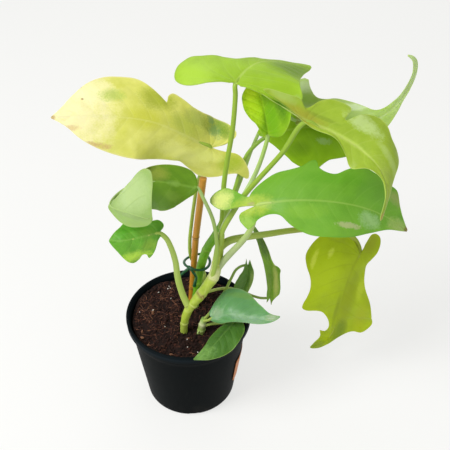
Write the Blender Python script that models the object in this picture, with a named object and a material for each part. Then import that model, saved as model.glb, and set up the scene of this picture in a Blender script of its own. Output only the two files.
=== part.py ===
"""Potted violin philodendron: fourteen leaves on three stems, a cane, a tie and a black nursery pot.

The model is in metres with +Z up. The origin is the middle of the pot's base, on the surface it stands on.
Every length below is in millimetres and is turned into metres when a mesh is made.
"""
import math

import bpy
import numpy as np

MM = 0.001
CLEARANCE = 0.3
ROUND_SIDES = 54

# Pot, turned from one profile
POT_HEIGHT = 102.0
RIM_RADIUS = 60.0
WALL_TOP_RADIUS = 56.4
BASE_RADIUS = 43.6
WALL = 1.3
FLOOR = 2.0
LIP_DEPTH = 8.0
DRAIN_COUNT = 6
DRAIN_RADIUS = 3.5
DRAIN_CIRCLE = 28.0
SLOT_WIDTH = 10.0
SLOT_HEIGHT = 2.6

# Potting mix
SOIL_TOP = 95.0
SOIL_BUMP = 1.8
SOIL_RINGS = 7

# Cane
CANE_FOOT_RADIUS = 2.7
CANE_TOP_RADIUS = 3.3
CANE_ROUTE = ((-4.0, 24.0, 24.0), (8.0, 24.0, 175.0), (16.0, 24.0, 242.0))
CANE_KNOTS = (112.0, 175.0)

# Blank label stuck on the pot's outside
LABEL_START = -28.0
LABEL_END = 8.0
LABEL_LOW = 26.0
LABEL_HIGH = 58.0
LABEL_THICKNESS = 0.6

# Leaf build
COLUMNS = 7
STALK_RINGS = 10
STALK_SIDES = 9
BLADE_RINGS = 20
BLADE = 0.8
RIB_DEPTH = 1.0
VEIN_SLANT = 0.5
NECK_STEP = 0.45

# Each stem is a route with a radius at each point
MAIN_STEM = {
    "route": ((-4, -19, 70), (-4, -19, 92), (-3, -19, 107), (1, -18, 122), (6, -18, 131), (13, -19, 143),
              (19, -19, 154), (25, -17, 164), (28, -14, 177), (30, -12, 193), (31, -11, 207)),
    "radii": (3.6, 3.6, 3.7, 4.2, 4.4, 5.0, 4.6, 5.3, 4.6, 4.1, 3.7),
}
CLIMBING_STEM = {
    "route": ((6, 12, 70), (6, 12, 94), (7, 14, 110), (13, 16, 149), (19, 15, 170), (27, 13, 187),
              (32, 11, 200)),
    "radii": (3.3, 3.5, 3.6, 4.2, 4.3, 4.1, 3.5),
}
YOUNG_STEM = {
    "route": ((12, -20, 74), (12, -20, 92), (13, -20, 100), (14, -20, 106), (16, -19, 112)),
    "radii": (3.4, 3.6, 3.8, 3.4, 2.8),
}

# Garden tie: a wire ring round the cane and two stalks, twisted, with two tails
TIE_RADIUS = 1.3
TIE_CENTRE = (8.5, 22.0, 146.0)
TIE_REACH = (12.2, 14.5)
TIE_SLOPE = 3.0

# A leaf is its stalk, its midrib from behind the junction to the tip, the way its upper face looks along
# the midrib, and the outline of each half as (along the midrib, out from it). Folds and bends are degrees
# at the junction, halfway and at the tip. A bend is what the half turns through over the leaf's half width.
LEAVES = {
    "leaf_cream": {
        "stem": "climbing", "stalk_radius": (2.3, 1.7), "half_width": 38, "colour": (0.87, 0.84, 0.42),
        "stalk": ((8, 15, 119), (13, 20, 122), (15, 27, 126), (10, 32, 132), (4, 31, 140), (2, 29, 150),
                  (2, 30, 166), (4, 31, 185), (7, 32, 208), (11, 33, 232), (19, 32, 256)),
        "rib": ((44, 30, 269), (24, 28, 271), (3, 24, 285), (-24, 20, 301), (-64, 13, 311), (-103, 4, 315)),
        "face": ((0, -.5, .87), (0, -.5, .87), (0, -.5, .87), (0, -.5, .87), (0, -.5, .87), (0, -.5, .87)),
        "left": ((-9, 2), (-16, 3), (-21, 5), (-25, 9), (-28, 16), (-29, 25), (-27, 30), (-23, 27),
                 (-19, 23),
                 (-14, 23), (-7, 26), (1, 28), (8, 25), (20, 22), (30, 24), (50, 30), (72, 33), (90, 31),
                 (106, 26), (118, 19), (129, 8)),
        "right": ((-9, 3), (-16, 6), (-22, 10), (-23, 14), (-20, 20), (-14, 25), (3, 29), (19, 27),
                  (29, 28),
                  (40, 31), (46, 32), (49, 28), (49, 22), (54, 26), (61, 32), (71, 38), (83, 39), (96, 37),
                  (109, 30), (121, 19), (132, 7)),
        "fold": (-35, -12, -5), "bend": (-30, -10, 0), "fold_right": (5, 4, 0), "bend_right": (-10, -10, 0),
    },
    "leaf_rolled": {
        "stem": "main", "stalk_radius": (2.2, 1.5), "half_width": 30, "colour": (0.36, 0.55, 0.11),
        "stalk": ((22, -18, 158), (25, -20, 172), (27, -21, 186), (28, -20, 204), (25, -19, 229),
                  (18, -20, 251)),
        "rib": ((22, -17, 265), (12, -18, 263), (-6, -13, 263), (-27, -6, 260), (-44, -9, 256),
                (-55, -20, 254), (-57, -32, 256), (-50, -43, 260), (-36, -53, 262), (-21, -58, 261)),
        "face": ((-.1, -.75, .65), (-.15, -.8, .55), (-.25, -.9, .1), (0, -.9, -.45), (.45, -.65, -.6),
                 (.7, -.4, -.6), (.77, 0, -.64), (.6, .4, -.7), (.2, .75, -.6), (0, .92, -.4)),
        "left": ((-1, 2), (1, 5), (6, 10), (13, 17), (25, 25), (36, 33), (46, 35), (54, 28), (62, 16),
                 (70, 8), (78, 4), (87, 3), (94, 4), (101, 6), (110, 9), (118, 10), (126, 8), (132, 5)),
        "right": ((-1, 3), (0, 8), (3, 11), (8, 13), (21, 17), (38, 16), (50, 17), (56, 19), (62, 19),
                  (68, 17), (74, 14), (80, 12), (86, 12), (92, 15), (98, 22), (104, 29), (111, 35),
                  (118, 38), (125, 37), (129, 29), (131, 17), (133, 7)),
        "fold": (0, 0, 0), "bend": (0, 0, 0),
    },
    "leaf_crumpled": {
        "stem": "main", "stalk_radius": (3.5, 2.2), "half_width": 20, "colour": (0.33, 0.62, 0.16),
        "stalk": ((1, -18, 127), (-4, -18, 144), (-7, -21, 166), (-8, -23, 186), (-11, -25, 204),
                  (-15, -27, 217)),
        "rib": ((-14, -27, 224), (-20, -28, 223), (-29, -30, 222), (-39, -34, 222), (-50, -37, 222),
                (-61, -37, 222)),
        "face": ((-.1, -.7, .7), (-.1, -.7, .7), (-.1, -.7, .7), (-.1, -.7, .7), (-.1, -.7, .7),
                 (-.1, -.7, .7)),
        "left": ((-1, 3), (2, 6), (4, 10), (6, 14), (9, 18), (12, 20), (14, 16), (17, 16), (20, 20),
                 (24, 22), (28, 20), (32, 15), (36, 9), (40, 4)),
        "right": ((-2, 2), (-5, 6), (-4, 10), (-1, 13), (5, 13), (11, 17), (19, 20), (26, 18),
                  (33, 13), (39, 7)),
        "fold": (-10, -10, -10), "bend": (-40, -40, -20),
    },
    "leaf_top": {
        "stem": "climbing", "stalk_radius": (2.6, 1.9), "half_width": 45, "colour": (0.62, 0.76, 0.16),
        "stalk": ((30, 12, 193), (32, 8, 204), (33, 6, 221), (34, 5, 248), (37, 4, 275), (41, 2, 305),
                  (43, 0, 338)),
        "rib": ((40, -12, 347), (43, 0, 348), (53, 18, 351), (65, 33, 349), (85, 48, 340), (107, 59, 331)),
        "face": ((0, -.5, .87), (0, -.5, .87), (-.05, -.4, .9), (.1, -.1, 1), (.3, .1, .95), (.4, 0, .9)),
        "left": ((-2, 4), (-5, 12), (-10, 26), (-10, 38), (-7, 46), (-2, 48), (4, 47), (11, 45),
                 (15, 38), (20, 31),
                 (24, 22), (27, 15), (34, 11), (44, 10), (52, 7), (67, 5), (82, 4)),
        "right": ((-2, 5), (0, 10), (2, 19), (4, 28), (7, 37), (10, 45), (15, 51), (24, 50), (35, 46),
                  (55, 32),
                  (74, 18), (86, 9)),
        "fold": (4, -8, -5), "bend": (-15, -25, -10), "fold_right": (0, 5, 0), "bend_right": (-25, -10, 0),
    },
    "leaf_arched": {
        "stem": "main", "stalk_radius": (2.6, 2.0), "half_width": 38, "colour": (0.61, 0.72, 0.20),
        "stalk": ((30, -12, 194), (31, -16, 207), (33, -17, 217), (41, -16, 234), (50, -14, 250),
                  (62, -13, 267), (80, -15, 294)),
        "rib": ((83, -16, 334), (97, -20, 327), (119, -26, 319), (138, -36, 311), (151, -50, 303),
                (156, -59, 292),
                (156, -64, 281), (153, -68, 268)),
        "face": ((0, -.3, .95), (0, -.3, .95), (0, -.3, .95), (.2, -.4, .9), (.75, -.5, .45), (.8, -.5, 0),
                 (.8, -.5, -.2), (.8, -.5, -.2)),
        "left": ((-41, 2), (-38, 5), (-33, 7), (-27, 9), (-21, 11), (-14, 13), (-10, 12), (-7, 9), (-4, 9),
                 (-1, 13), (2, 18), (8, 23), (14, 26),
                 (20, 27),
                 (25, 26), (26, 20), (25, 14), (26, 13), (29, 17), (33, 24), (38, 30), (43, 34), (48, 33),
                 (55, 28), (62, 27), (67, 25), (72, 19), (77, 12), (84, 6), (94, 3), (106, 2)),
        "right": ((-39, 1), (-30, 1), (-16, 1), (-7, 2), (3, 3), (15, 4), (27, 5), (38, 10), (51, 16),
                  (57, 13),
                  (63, 9), (69, 6), (76, 3), (88, 3), (96, 3), (106, 2)),
        "fold": (30, 35, 10), "bend": (-45, -70, -30), "fold_right": (20, -20, -10),
        "bend_right": (-20, -20, 0),
    },
    "leaf_front": {
        "stem": "main", "stalk_radius": (3.6, 2.1), "half_width": 34, "colour": (0.42, 0.68, 0.20),
        "stalk": ((27, -15, 169), (33, -16, 180), (41, -20, 195), (50, -25, 212), (56, -30, 228),
                  (59, -34, 244)),
        "rib": ((49, -34, 253), (60, -36, 258), (86, -40, 266), (121, -42, 266), (152, -40, 256),
                (185, -34, 230)),
        "face": ((0, -.65, .76), (0, -.65, .76), (0, -.65, .76), (0, -.65, .76), (0, -.65, .76),
                 (0, -.65, .76)),
        "left": ((-12, 2), (-20, 3), (-31, 5), (-39, 11), (-43, 18), (-38, 24), (-28, 25), (-20, 20),
                 (-11, 12),
                 (-6, 8), (-3, 13), (5, 21), (16, 27), (28, 28), (37, 30), (44, 35), (48, 35),
                 (50, 29), (56, 25),
                 (63, 24), (72, 29), (82, 33), (95, 30), (106, 26), (113, 24), (120, 14), (130, 5)),
        "right": ((-10, 2), (-16, 4), (-17, 8), (-15, 13), (-12, 17), (-7, 16), (0, 11), (10, 9),
                  (19, 11), (27, 19),
                  (43, 27), (62, 28), (82, 25), (99, 18), (116, 9), (130, 4)),
        "fold": (-15, 0, 0), "bend": (-20, -10, 0), "fold_right": (-5, 0, 0), "bend_right": (-20, -10, 0),
    },
    "leaf_hanging": {
        "stem": "main", "stalk_radius": (4.0, 1.9), "half_width": 40, "colour": (0.62, 0.68, 0.08),
        "stalk": ((30, -12, 192), (38, -9, 198), (52, -5, 199), (71, -2, 200), (94, 2, 201), (118, 7, 199),
                  (140, 12, 192), (154, 12, 181)),
        "rib": ((160, 7, 177), (158, 5, 171), (152, 3, 153), (148, 2, 128), (144, 0, 97), (141, -2, 73),
                (131, -5, 63), (119, -7, 59)),
        "face": ((0, -.85, .5), (0, -.85, .5), (0, -.85, .5), (0, -.85, .5), (0, -.85, .5), (0, -.85, .5),
                 (-.1, -.85, .5), (-.1, -.85, .5)),
        "left": ((-9, 1), (-15, 2), (-20, 3.5), (-22, 7), (-20, 12), (-14, 15), (-6, 15), (3, 12),
                 (9, 11), (19, 13), (30, 15), (39, 18), (47, 22), (57, 27), (69, 31), (80, 34),
                 (87, 35), (91, 32), (94, 26),
                 (94, 18), (97, 11), (102, 6), (112, 4), (121, 3)),
        "right": ((-5, 4), (-9, 8), (-13, 13), (-13, 23), (-9, 32), (-2, 38), (6, 41), (15, 44),
                  (23, 45), (31, 41),
                  (38, 36), (46, 33), (54, 32), (62, 33), (69, 35), (74, 35), (76, 30), (75, 22),
                  (76, 15), (82, 9),
                  (90, 7), (96, 9), (102, 13), (107, 12), (113, 7), (122, 4)),
        "fold": (-10, 0, 0), "bend": (-20, -15, 0),
    },
    "leaf_dark": {
        "stem": "climbing", "stalk_radius": (2.2, 1.7), "half_width": 34, "colour": (0.36, 0.54, 0.13),
        "stalk": ((29, 12, 192), (33, 17, 203), (39, 20, 216), (44, 24, 231), (48, 29, 244), (54, 33, 260),
                  (62, 35, 270)),
        "rib": ((60, 33, 274), (69, 35, 277), (86, 39, 281), (113, 43, 282), (141, 41, 276),
                (166, 36, 266)),
        "face": ((0, -.6, .8), (0, -.6, .8), (0, -.6, .8), (0, -.6, .8), (0, -.6, .8), (0, -.6, .8)),
        "left": ((-3, 2), (-4, 4), (-4, 7), (-2, 9), (5, 10), (14, 13), (33, 23), (50, 27), (71, 22),
                 (89, 11)),
        "right": ((0, 3), (3, 7), (6, 12), (9, 17), (14, 23), (20, 29), (28, 34), (42, 37), (53, 35),
                  (59, 30),
                  (64, 26), (71, 23), (79, 19), (87, 13), (96, 6)),
        "fold": (-5, -5, 0), "bend": (-25, -25, 0),
    },
    "leaf_upright": {
        "stem": "main", "stalk_radius": (2.6, 1.7), "half_width": 18, "colour": (0.50, 0.74, 0.08),
        "stalk": ((31, -10, 202), (36, -6, 218), (45, -2, 231), (52, 1, 243), (60, 0, 263), (66, -3, 286)),
        "rib": ((70, -7, 298), (69, -6, 306), (67, 0, 317), (64, 7, 327), (60, 12, 336), (56, 15, 342)),
        "face": ((-.1, -.85, .5), (-.1, -.85, .5), (-.1, -.85, .5), (-.1, -.85, .5), (-.1, -.85, .5),
                 (-.1, -.85, .5)),
        "left": ((0, 4), (4, 7), (10, 10), (15, 14), (23, 17), (31, 16), (39, 12)),
        "right": ((-2, 3), (-2, 8), (0, 13), (3, 18), (7, 21), (12, 23), (18, 22), (26, 18), (34, 12),
                  (40, 6)),
        "fold": (30, 30, 20), "bend": (10, 10, 0),
    },
    "leaf_narrow": {
        "stem": "main", "stalk_radius": (1.7, 1.3), "half_width": 10, "colour": (0.36, 0.48, 0.20),
        "stalk": ((13, -19, 144), (20, -10, 138), (27, -2, 133), (39, 8, 125), (51, 12, 117), (64, 10, 112),
                  (71, 8, 112)),
        "rib": ((77, 7, 105), (78, 7, 113), (79, 8, 125), (79, 8, 141), (77, 9, 154), (73, 11, 170),
                (68, 13, 183),
                (61, 15, 196)),
        "face": ((-.3, -.9, .2), (-.3, -.9, .2), (-.3, -.9, .2), (-.3, -.9, .2), (-.3, -.9, .2),
                 (-.3, -.9, .2),
                 (-.3, -.9, .2), (-.3, -.9, .2)),
        "left": ((-7, 2), (0, 3), (5, 4), (12, 4), (21, 5), (34, 6), (47, 6), (59, 6), (70, 5), (80, 4)),
        "right": ((-7, 3), (-1, 4), (5, 7), (12, 11), (19, 12), (28, 12), (36, 13), (42, 15),
                  (43, 10), (43, 6),
                  (47, 3), (58, 2), (72, 2)),
        "fold": (20, 20, 20), "bend": (20, 20, 0),
    },
    "leaf_small": {
        "stem": "young", "stalk_radius": (1.6, 1.2), "half_width": 8, "colour": (0.35, 0.55, 0.22),
        "stalk": ((15, -19, 110), (19, -17, 114), (26, -12, 121), (35, -5, 134), (41, 1, 145), (45, 4, 152),
                  (50, 6, 155)),
        "rib": ((56, 7, 164), (56, 7, 154), (56, 5, 141), (52, 3, 128), (46, 1, 115)),
        "face": ((0, -.8, .6), (0, -.8, .6), (0, -.8, .6), (0, -.8, .6), (0, -.8, .6)),
        "left": ((-9, 2), (-4, 4), (3, 6), (10, 6), (19, 6), (28, 5), (36, 3)),
        "right": ((-11, 2), (-4, 3), (3, 5), (8, 9), (17, 11), (29, 9), (38, 5)),
        "fold": (25, 25, 20), "bend": (0, 0, 0),
    },
    "leaf_bluegreen": {
        "stem": "young", "stalk_radius": (1.6, 1.3), "half_width": 28, "colour": (0.36, 0.62, 0.40),
        "stalk": ((14, -19, 108), (17, -23, 113), (20, -26, 117)),
        "rib": ((16, -25, 118), (23, -28, 122), (41, -33, 132), (63, -39, 134), (84, -42, 138)),
        "face": ((0, -.55, .83), (0, -.55, .83), (0, -.55, .83), (0, -.55, .83), (0, -.55, .83)),
        "left": ((-3, 4), (-1, 8), (3, 13), (8, 19), (13, 25), (17, 27), (22, 27), (27, 25), (33, 22),
                 (41, 16),
                 (49, 10), (56, 4)),
        "right": ((-1, 2), (3, 5), (8, 7), (15, 7), (26, 7), (36, 6), (48, 6), (56, 5), (62, 3)),
        "fold": (0, 0, 0), "bend": (-30, -30, 0), "fold_right": (-20, -20, 0), "bend_right": (-30, -30, 0),
    },
    "leaf_low": {
        "stem": "young", "stalk_radius": (1.5, 1.3), "half_width": 20, "colour": (0.30, 0.52, 0.14),
        "stalk": ((13, -20, 101), (20, -21, 106), (32, -24, 111)),
        "rib": ((50, -23, 118), (44, -27, 116), (34, -40, 114), (22, -54, 110), (7, -64, 106)),
        "face": ((0, -.5, .85), (0, -.5, .85), (0, -.5, .85), (0, -.5, .85), (0, -.5, .85)),
        "left": ((-3, 2), (-6, 6), (-4, 10), (1, 13), (10, 15), (17, 16), (24, 16), (31, 14),
                 (37, 11), (44, 7),
                 (50, 3)),
        "right": ((-3, 2), (2, 4), (7, 5), (12, 6), (20, 7), (30, 7), (38, 5), (46, 3)),
        "fold": (15, 10, 5), "bend": (-10, -10, 0),
    },
    "leaf_pale": {
        "stem": "climbing", "stalk_radius": (1.9, 1.5), "half_width": 26, "colour": (0.60, 0.75, 0.42),
        "stalk": ((25, 13, 184), (30, 20, 190), (36, 29, 197), (43, 38, 210), (51, 46, 230), (59, 52, 254),
                  (69, 54, 278), (82, 48, 293)),
        "rib": ((86, 31, 293), (95, 33, 295), (128, 36, 293), (159, 34, 294), (177, 31, 312),
                (184, 30, 330),
                (186, 29, 343), (184, 28, 353), (178, 28, 357)),
        "face": ((0, -.6, .8), (0, -.6, .8), (0, -.6, .8), (0, -.7, .7), (.1, -.8, .6), (.2, -.9, .4),
                 (.2, -.9, .4), (.2, -.9, .4), (.2, -.9, .4)),
        "left": ((0, 7), (2, 17), (5, 29), (7, 39), (10, 43), (14, 41), (14, 35), (15, 29), (17, 23),
                 (20, 20),
                 (26, 19), (34, 20), (46, 18), (62, 12), (72, 7), (80, 5), (93, 4), (106, 3),
                 (120, 2), (132, 2)),
        "right": ((-2, 6), (0, 14), (12, 22), (27, 26), (45, 26), (58, 22), (67, 18), (73, 14),
                  (77, 10), (82, 7),
                  (88, 4), (95, 2), (107, 2), (120, 2), (132, 2)),
        "fold": (5, 5, 5), "bend": (-20, -15, 0),
    },
}


def clear_scene():
    for thing in list(bpy.data.objects):
        bpy.data.objects.remove(thing, do_unlink=True)


def plain_material(name, colour, roughness):
    material = bpy.data.materials.new(name)
    material.use_nodes = True
    shader = material.node_tree.nodes["Principled BSDF"]
    shader.inputs["Base Color"].default_value = (*colour, 1.0)
    shader.inputs["Roughness"].default_value = roughness
    shader.inputs["Metallic"].default_value = 0.0
    return material


def add_object(name, mesh, material=None):
    thing = bpy.data.objects.new(name, mesh)
    bpy.context.scene.collection.objects.link(thing)
    if material:
        mesh.materials.append(material)
    mesh.shade_smooth()
    mesh.set_sharp_from_angle(angle=math.radians(40))
    return thing


def mesh_from(name, points, faces):
    mesh = bpy.data.meshes.new(name)
    mesh.from_pydata([tuple(MM * value for value in point) for point in points], [], faces)
    mesh.update()
    return mesh


def hide_cutter(thing):
    thing.hide_render = True
    thing.display_type = "WIRE"


def boolean(thing, other, operation="DIFFERENCE"):
    modifier = thing.modifiers.new(operation.lower(), "BOOLEAN")
    modifier.operation = operation
    modifier.object = other


def unit(vectors):
    vectors = np.asarray(vectors, float)
    return vectors / np.maximum(np.linalg.norm(vectors, axis=-1, keepdims=True), 1e-9)


def smooth_curve(points, steps=12):
    """A curve through the points, and the point number that each of its places stands for."""
    points = np.asarray(points, float)
    gaps = np.maximum(np.linalg.norm(np.diff(points, axis=0), axis=1), 1e-6) ** 0.5
    knots = np.concatenate([[0], np.cumsum(gaps)])
    slopes = np.diff(points, axis=0) / gaps[:, None]
    turn = np.zeros_like(points)
    for i in range(1, len(points) - 1):
        turn[i] = (slopes[i - 1] * gaps[i] + slopes[i] * gaps[i - 1]) / (gaps[i] + gaps[i - 1])
    turn[0] = 2 * slopes[0] - turn[1]
    turn[-1] = 2 * slopes[-1] - turn[-2]
    places, numbers = [], []
    for i in range(len(points) - 1):
        for step in range(steps):
            t = step / steps
            width = knots[i + 1] - knots[i]
            places.append((2 * t**3 - 3 * t**2 + 1) * points[i] + (t**3 - 2 * t**2 + t) * width * turn[i]
                          + (3 * t**2 - 2 * t**3) * points[i + 1] + (t**3 - t**2) * width * turn[i + 1])
            numbers.append(i + t)
    places.append(points[-1])
    numbers.append(len(points) - 1.0)
    return np.array(places), np.array(numbers)


def run_length(places):
    return np.concatenate([[0], np.cumsum(np.linalg.norm(np.diff(places, axis=0), axis=1))])


def read_curve(at, length, values):
    return np.stack([np.interp(at, length, values[:, axis]) for axis in range(values.shape[1])], -1)


def tube_rings(route, radii, sides, spacing):
    """Rings of points round a smooth route, with a radius at each of the route's points."""
    places, numbers = smooth_curve(route)
    length = run_length(places)
    count = max(3, int(round(length[-1] / spacing)) + 1)
    at = np.linspace(0, length[-1], count)
    centres = read_curve(at, length, places)
    ways = unit(np.gradient(centres, axis=0))
    widths = np.interp(np.interp(at, length, numbers), np.arange(len(radii)), radii)
    across = unit(np.cross(ways[0], (0.3, 1.0, 0.2)))
    rings = []
    for centre, way, width in zip(centres, ways, widths):
        across = unit(across - way * np.dot(across, way))
        up = np.cross(way, across)
        rings.append([centre + width * (math.cos(turn) * across + math.sin(turn) * up)
                      for turn in np.linspace(0, 2 * math.pi, sides, endpoint=False)])
    return rings


def close_rings(rings, ends=True):
    """Points and triangles of a skin over equal rings, with flat ends, or joined end to end."""
    sides = len(rings[0])
    points = [point for ring in rings for point in ring]
    faces = []
    last = len(rings) - 1 if ends else len(rings)
    for i in range(last):
        low, high = i * sides, ((i + 1) % len(rings)) * sides
        for k in range(sides):
            n = (k + 1) % sides
            faces.append((low + k, low + n, high + n))
            faces.append((low + k, high + n, high + k))
    if ends:
        faces.append(tuple(reversed(range(sides))))
        faces.append(tuple(range(last * sides, (last + 1) * sides)))
    return points, faces


def tube(name, route, radii, sides, spacing, material=None):
    points, faces = close_rings(tube_rings(route, radii, sides, spacing))
    return add_object(name, mesh_from(name, points, faces), material)


def turned(name, profile, sides, material=None):
    """A ring-shaped or closed solid turned round Z from (radius, height) points, bottom to top outside."""
    points, faces, rows = [], [], []
    for radius, height in profile:
        if radius < 1e-6:
            rows.append([len(points)] * sides)
            points.append((0, 0, height))
            continue
        rows.append(list(range(len(points), len(points) + sides)))
        points.extend((radius * math.cos(turn), radius * math.sin(turn), height)
                      for turn in np.linspace(0, 2 * math.pi, sides, endpoint=False))
    for low, high in zip(rows, rows[1:]):
        for k in range(sides):
            n = (k + 1) % sides
            corners = [low[k], low[n], high[n], high[k]]
            face = [c for i, c in enumerate(corners) if c not in corners[:i]]
            if len(face) > 2:
                faces.append(tuple(face))
    return add_object(name, mesh_from(name, points, faces), material)


def wall_radius(height):
    """Outer radius of the pot's tapered wall."""
    return BASE_RADIUS + (WALL_TOP_RADIUS - BASE_RADIUS) * height / (POT_HEIGHT - LIP_DEPTH)


def make_pot(material):
    shoulder = POT_HEIGHT - LIP_DEPTH
    profile = (
        (0, 0), (BASE_RADIUS - 2.5, 0), (BASE_RADIUS - 0.7, 0.8), (wall_radius(3.0), 3.0),
        (wall_radius(50.0), 50.0), (WALL_TOP_RADIUS, shoulder - 0.5), (RIM_RADIUS - 0.8, shoulder - 0.4),
        (RIM_RADIUS - 0.4, shoulder + 0.3), (RIM_RADIUS, POT_HEIGHT - 2.2),
        (RIM_RADIUS - 0.5, POT_HEIGHT - 0.6),
        (RIM_RADIUS - 1.5, POT_HEIGHT), (RIM_RADIUS - 2.7, POT_HEIGHT - 0.4),
        (RIM_RADIUS - 3.4, POT_HEIGHT - 1.8),
        (WALL_TOP_RADIUS - WALL, shoulder - 2.0), (wall_radius(50.0) - WALL, 50.0),
        (wall_radius(FLOOR) - WALL, FLOOR), (0, FLOOR),
    )
    pot = turned("pot", profile, ROUND_SIDES, material)
    cutters = []
    for k in range(DRAIN_COUNT):
        turn = math.radians(-84 + k * 360 / DRAIN_COUNT)
        middle = np.array((math.cos(turn), math.sin(turn), 0.0))
        side = np.array((-math.sin(turn), math.cos(turn), 0.0))
        half = SLOT_WIDTH / 2
        inner, outer = middle * (BASE_RADIUS - 5.5), middle * (BASE_RADIUS + 6)
        corners = [inner - side * half, outer - side * half, outer + side * half, inner + side * half]
        low = [corner + (0, 0, -3) for corner in corners]
        high = [corner + (0, 0, SLOT_HEIGHT) for corner in corners]
        points, faces = close_rings([low, high])
        cutters.append(add_object("slot_cutter", mesh_from("slot_cutter", points, faces)))
        hole = middle * DRAIN_CIRCLE
        route = (hole + (0, 0, -3), hole + (0, 0, 0.5), hole + (0, 0, FLOOR + 3))
        cutters.append(tube("drain_cutter", route, (DRAIN_RADIUS,) * 3, 12, 4))
    for cutter in cutters:
        hide_cutter(cutter)
        boolean(pot, cutter)
    return pot


def soil_height(radius, turn):
    """The potting mix is slightly domed and lumpy, by a sum of waves."""
    x, y = radius * math.cos(turn), radius * math.sin(turn)
    lumps = math.sin(x / 6.1 + 0.6) * math.cos(y / 7.3) + 0.6 * math.sin(x / 3.7 - y / 4.9 + 1.1)
    return SOIL_TOP + SOIL_BUMP * 0.6 * lumps + 0.02 * y


def make_soil(material, stem_cutters):
    sides = 36
    floor = FLOOR + CLEARANCE
    reach = WALL + CLEARANCE
    outline = ((0, floor), (wall_radius(floor) - reach - 0.5, floor), (wall_radius(50.0) - reach, 50.0),
               (wall_radius(SOIL_TOP - 5) - reach, SOIL_TOP - 5))
    points = [(0, 0, floor)]
    rings = []
    for radius, height in outline[1:]:
        rings.append([(radius, height)] * sides)
    edge = outline[-1][0]
    for step in range(SOIL_RINGS):
        radius = edge * (1 - step / SOIL_RINGS)
        rings.append([(radius, soil_height(radius, 2 * math.pi * k / sides)) for k in range(sides)])
    for ring in rings:
        turns = [2 * math.pi * k / sides for k in range(sides)]
        points.extend((radius * math.cos(turn), radius * math.sin(turn), height)
                      for turn, (radius, height) in zip(turns, ring))
    points.append((0, 0, soil_height(0, 0)))
    faces = []
    for k in range(sides):
        n = (k + 1) % sides
        faces.append((0, 1 + n, 1 + k))
        for row in range(len(rings) - 1):
            low, high = 1 + row * sides, 1 + (row + 1) * sides
            faces.append((low + k, low + n, high + n))
            faces.append((low + k, high + n, high + k))
        top = 1 + (len(rings) - 1) * sides
        faces.append((top + k, top + n, len(points) - 1))
    soil = add_object("soil", mesh_from("soil", points, faces), material)
    for cutter in stem_cutters:
        boolean(soil, cutter)
    return soil


def cane_centre(height):
    """The cane runs straight up from the soil and bends slightly at its upper knot."""
    foot, knot, top = (np.array(point) for point in CANE_ROUTE)
    if height < knot[2]:
        return foot + (knot - foot) * (height - foot[2]) / (knot[2] - foot[2])
    return knot + (top - knot) * (height - knot[2]) / (top[2] - knot[2])


def make_cane(material):
    """A thin bamboo cane, a little thicker at the top, that swells at each knot."""
    low, high = CANE_ROUTE[0][2], CANE_ROUTE[-1][2]
    heights = [low]
    for knot in CANE_KNOTS:
        heights.extend((knot - 3, knot - 0.6, knot + 0.6, knot + 3))
    heights.append(high)
    rings = []
    for height in heights:
        swell = 0.35 if any(abs(height - knot) < 1 for knot in CANE_KNOTS) else 0.0
        taper = (height - low) / (high - low)
        radius = CANE_FOOT_RADIUS + (CANE_TOP_RADIUS - CANE_FOOT_RADIUS) * taper + swell
        rings.append([cane_centre(height) + radius * np.array((math.cos(turn), math.sin(turn), 0))
                      for turn in np.linspace(0, 2 * math.pi, 12, endpoint=False)])
    points, faces = close_rings(rings)
    return add_object("cane", mesh_from("cane", points, faces), material)


def tie_routes():
    """The ring's own closed route, and the two twisted tails at its left front."""
    centre = np.array(TIE_CENTRE)
    across, deep = TIE_REACH
    ring = []
    for step in range(28):
        turn = 2 * math.pi * step / 28
        rise = 1.2 * math.sin(2 * turn) - TIE_SLOPE * math.sin(turn)
        ring.append(centre + (across * math.cos(turn), deep * math.sin(turn), rise))
    long_tail = ((3.5, 9.5, 149.5), (1, 9, 149), (-3, 8, 146), (-7, 7, 142))
    curl = ((2.5, 10, 149.5), (5, 8, 146), (8, 7, 140), (7, 6, 135), (6, 6, 130))
    return ring, long_tail, curl


def make_tie(material):
    ring, long_tail, curl = tie_routes()
    sides = 8
    rings = []
    centre = np.array(TIE_CENTRE)
    for place in ring:
        out = unit(place - centre)
        rings.append([place + TIE_RADIUS * (math.cos(turn) * out + math.sin(turn) * np.array((0, 0, 1.0)))
                      for turn in np.linspace(0, 2 * math.pi, sides, endpoint=False)])
    points, faces = close_rings(rings, ends=False)
    tie = add_object("tie", mesh_from("tie", points, faces), material)
    for route, radii in ((long_tail, (1.5, 1.5, 1.3, 1.2)), (curl, (1.5, 1.4, 1.3, 1.5, 1.7))):
        piece = tube("tie_tail", route, radii, sides, 2.4)
        hide_cutter(piece)
        boolean(tie, piece, "UNION")
    return tie


def make_label(material):
    """A thin blank plate that follows the pot's wall."""
    inner = CLEARANCE
    outer = CLEARANCE + LABEL_THICKNESS
    rings = []
    for turn in np.radians(np.linspace(LABEL_START, LABEL_END, 10)):
        way = np.array((math.cos(turn), math.sin(turn), 0.0))
        ring = []
        corners = ((outer, LABEL_LOW), (outer, LABEL_HIGH), (inner, LABEL_HIGH), (inner, LABEL_LOW))
        for gap, height in corners:
            ring.append(way * (wall_radius(height) + gap + 0.15) + (0, 0, height))
        rings.append(ring)
    points, faces = close_rings(rings)
    faces = [tuple(reversed(face)) for face in faces]
    return add_object("label", mesh_from("label", points, faces), material)


def blade_frame(leaf):
    """The midrib as a dense curve: its places, ways along, ways up, and distance from the junction."""
    places, numbers = smooth_curve(leaf["rib"], 30)
    length = run_length(places)
    along = length - np.interp(1.0, numbers, length)
    ways = unit(np.gradient(places, axis=0))
    looks, _ = smooth_curve(unit(leaf["face"]), 30)
    ups = unit(looks - ways * np.sum(looks * ways, axis=1, keepdims=True))
    return places, ways, ups, along


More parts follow.
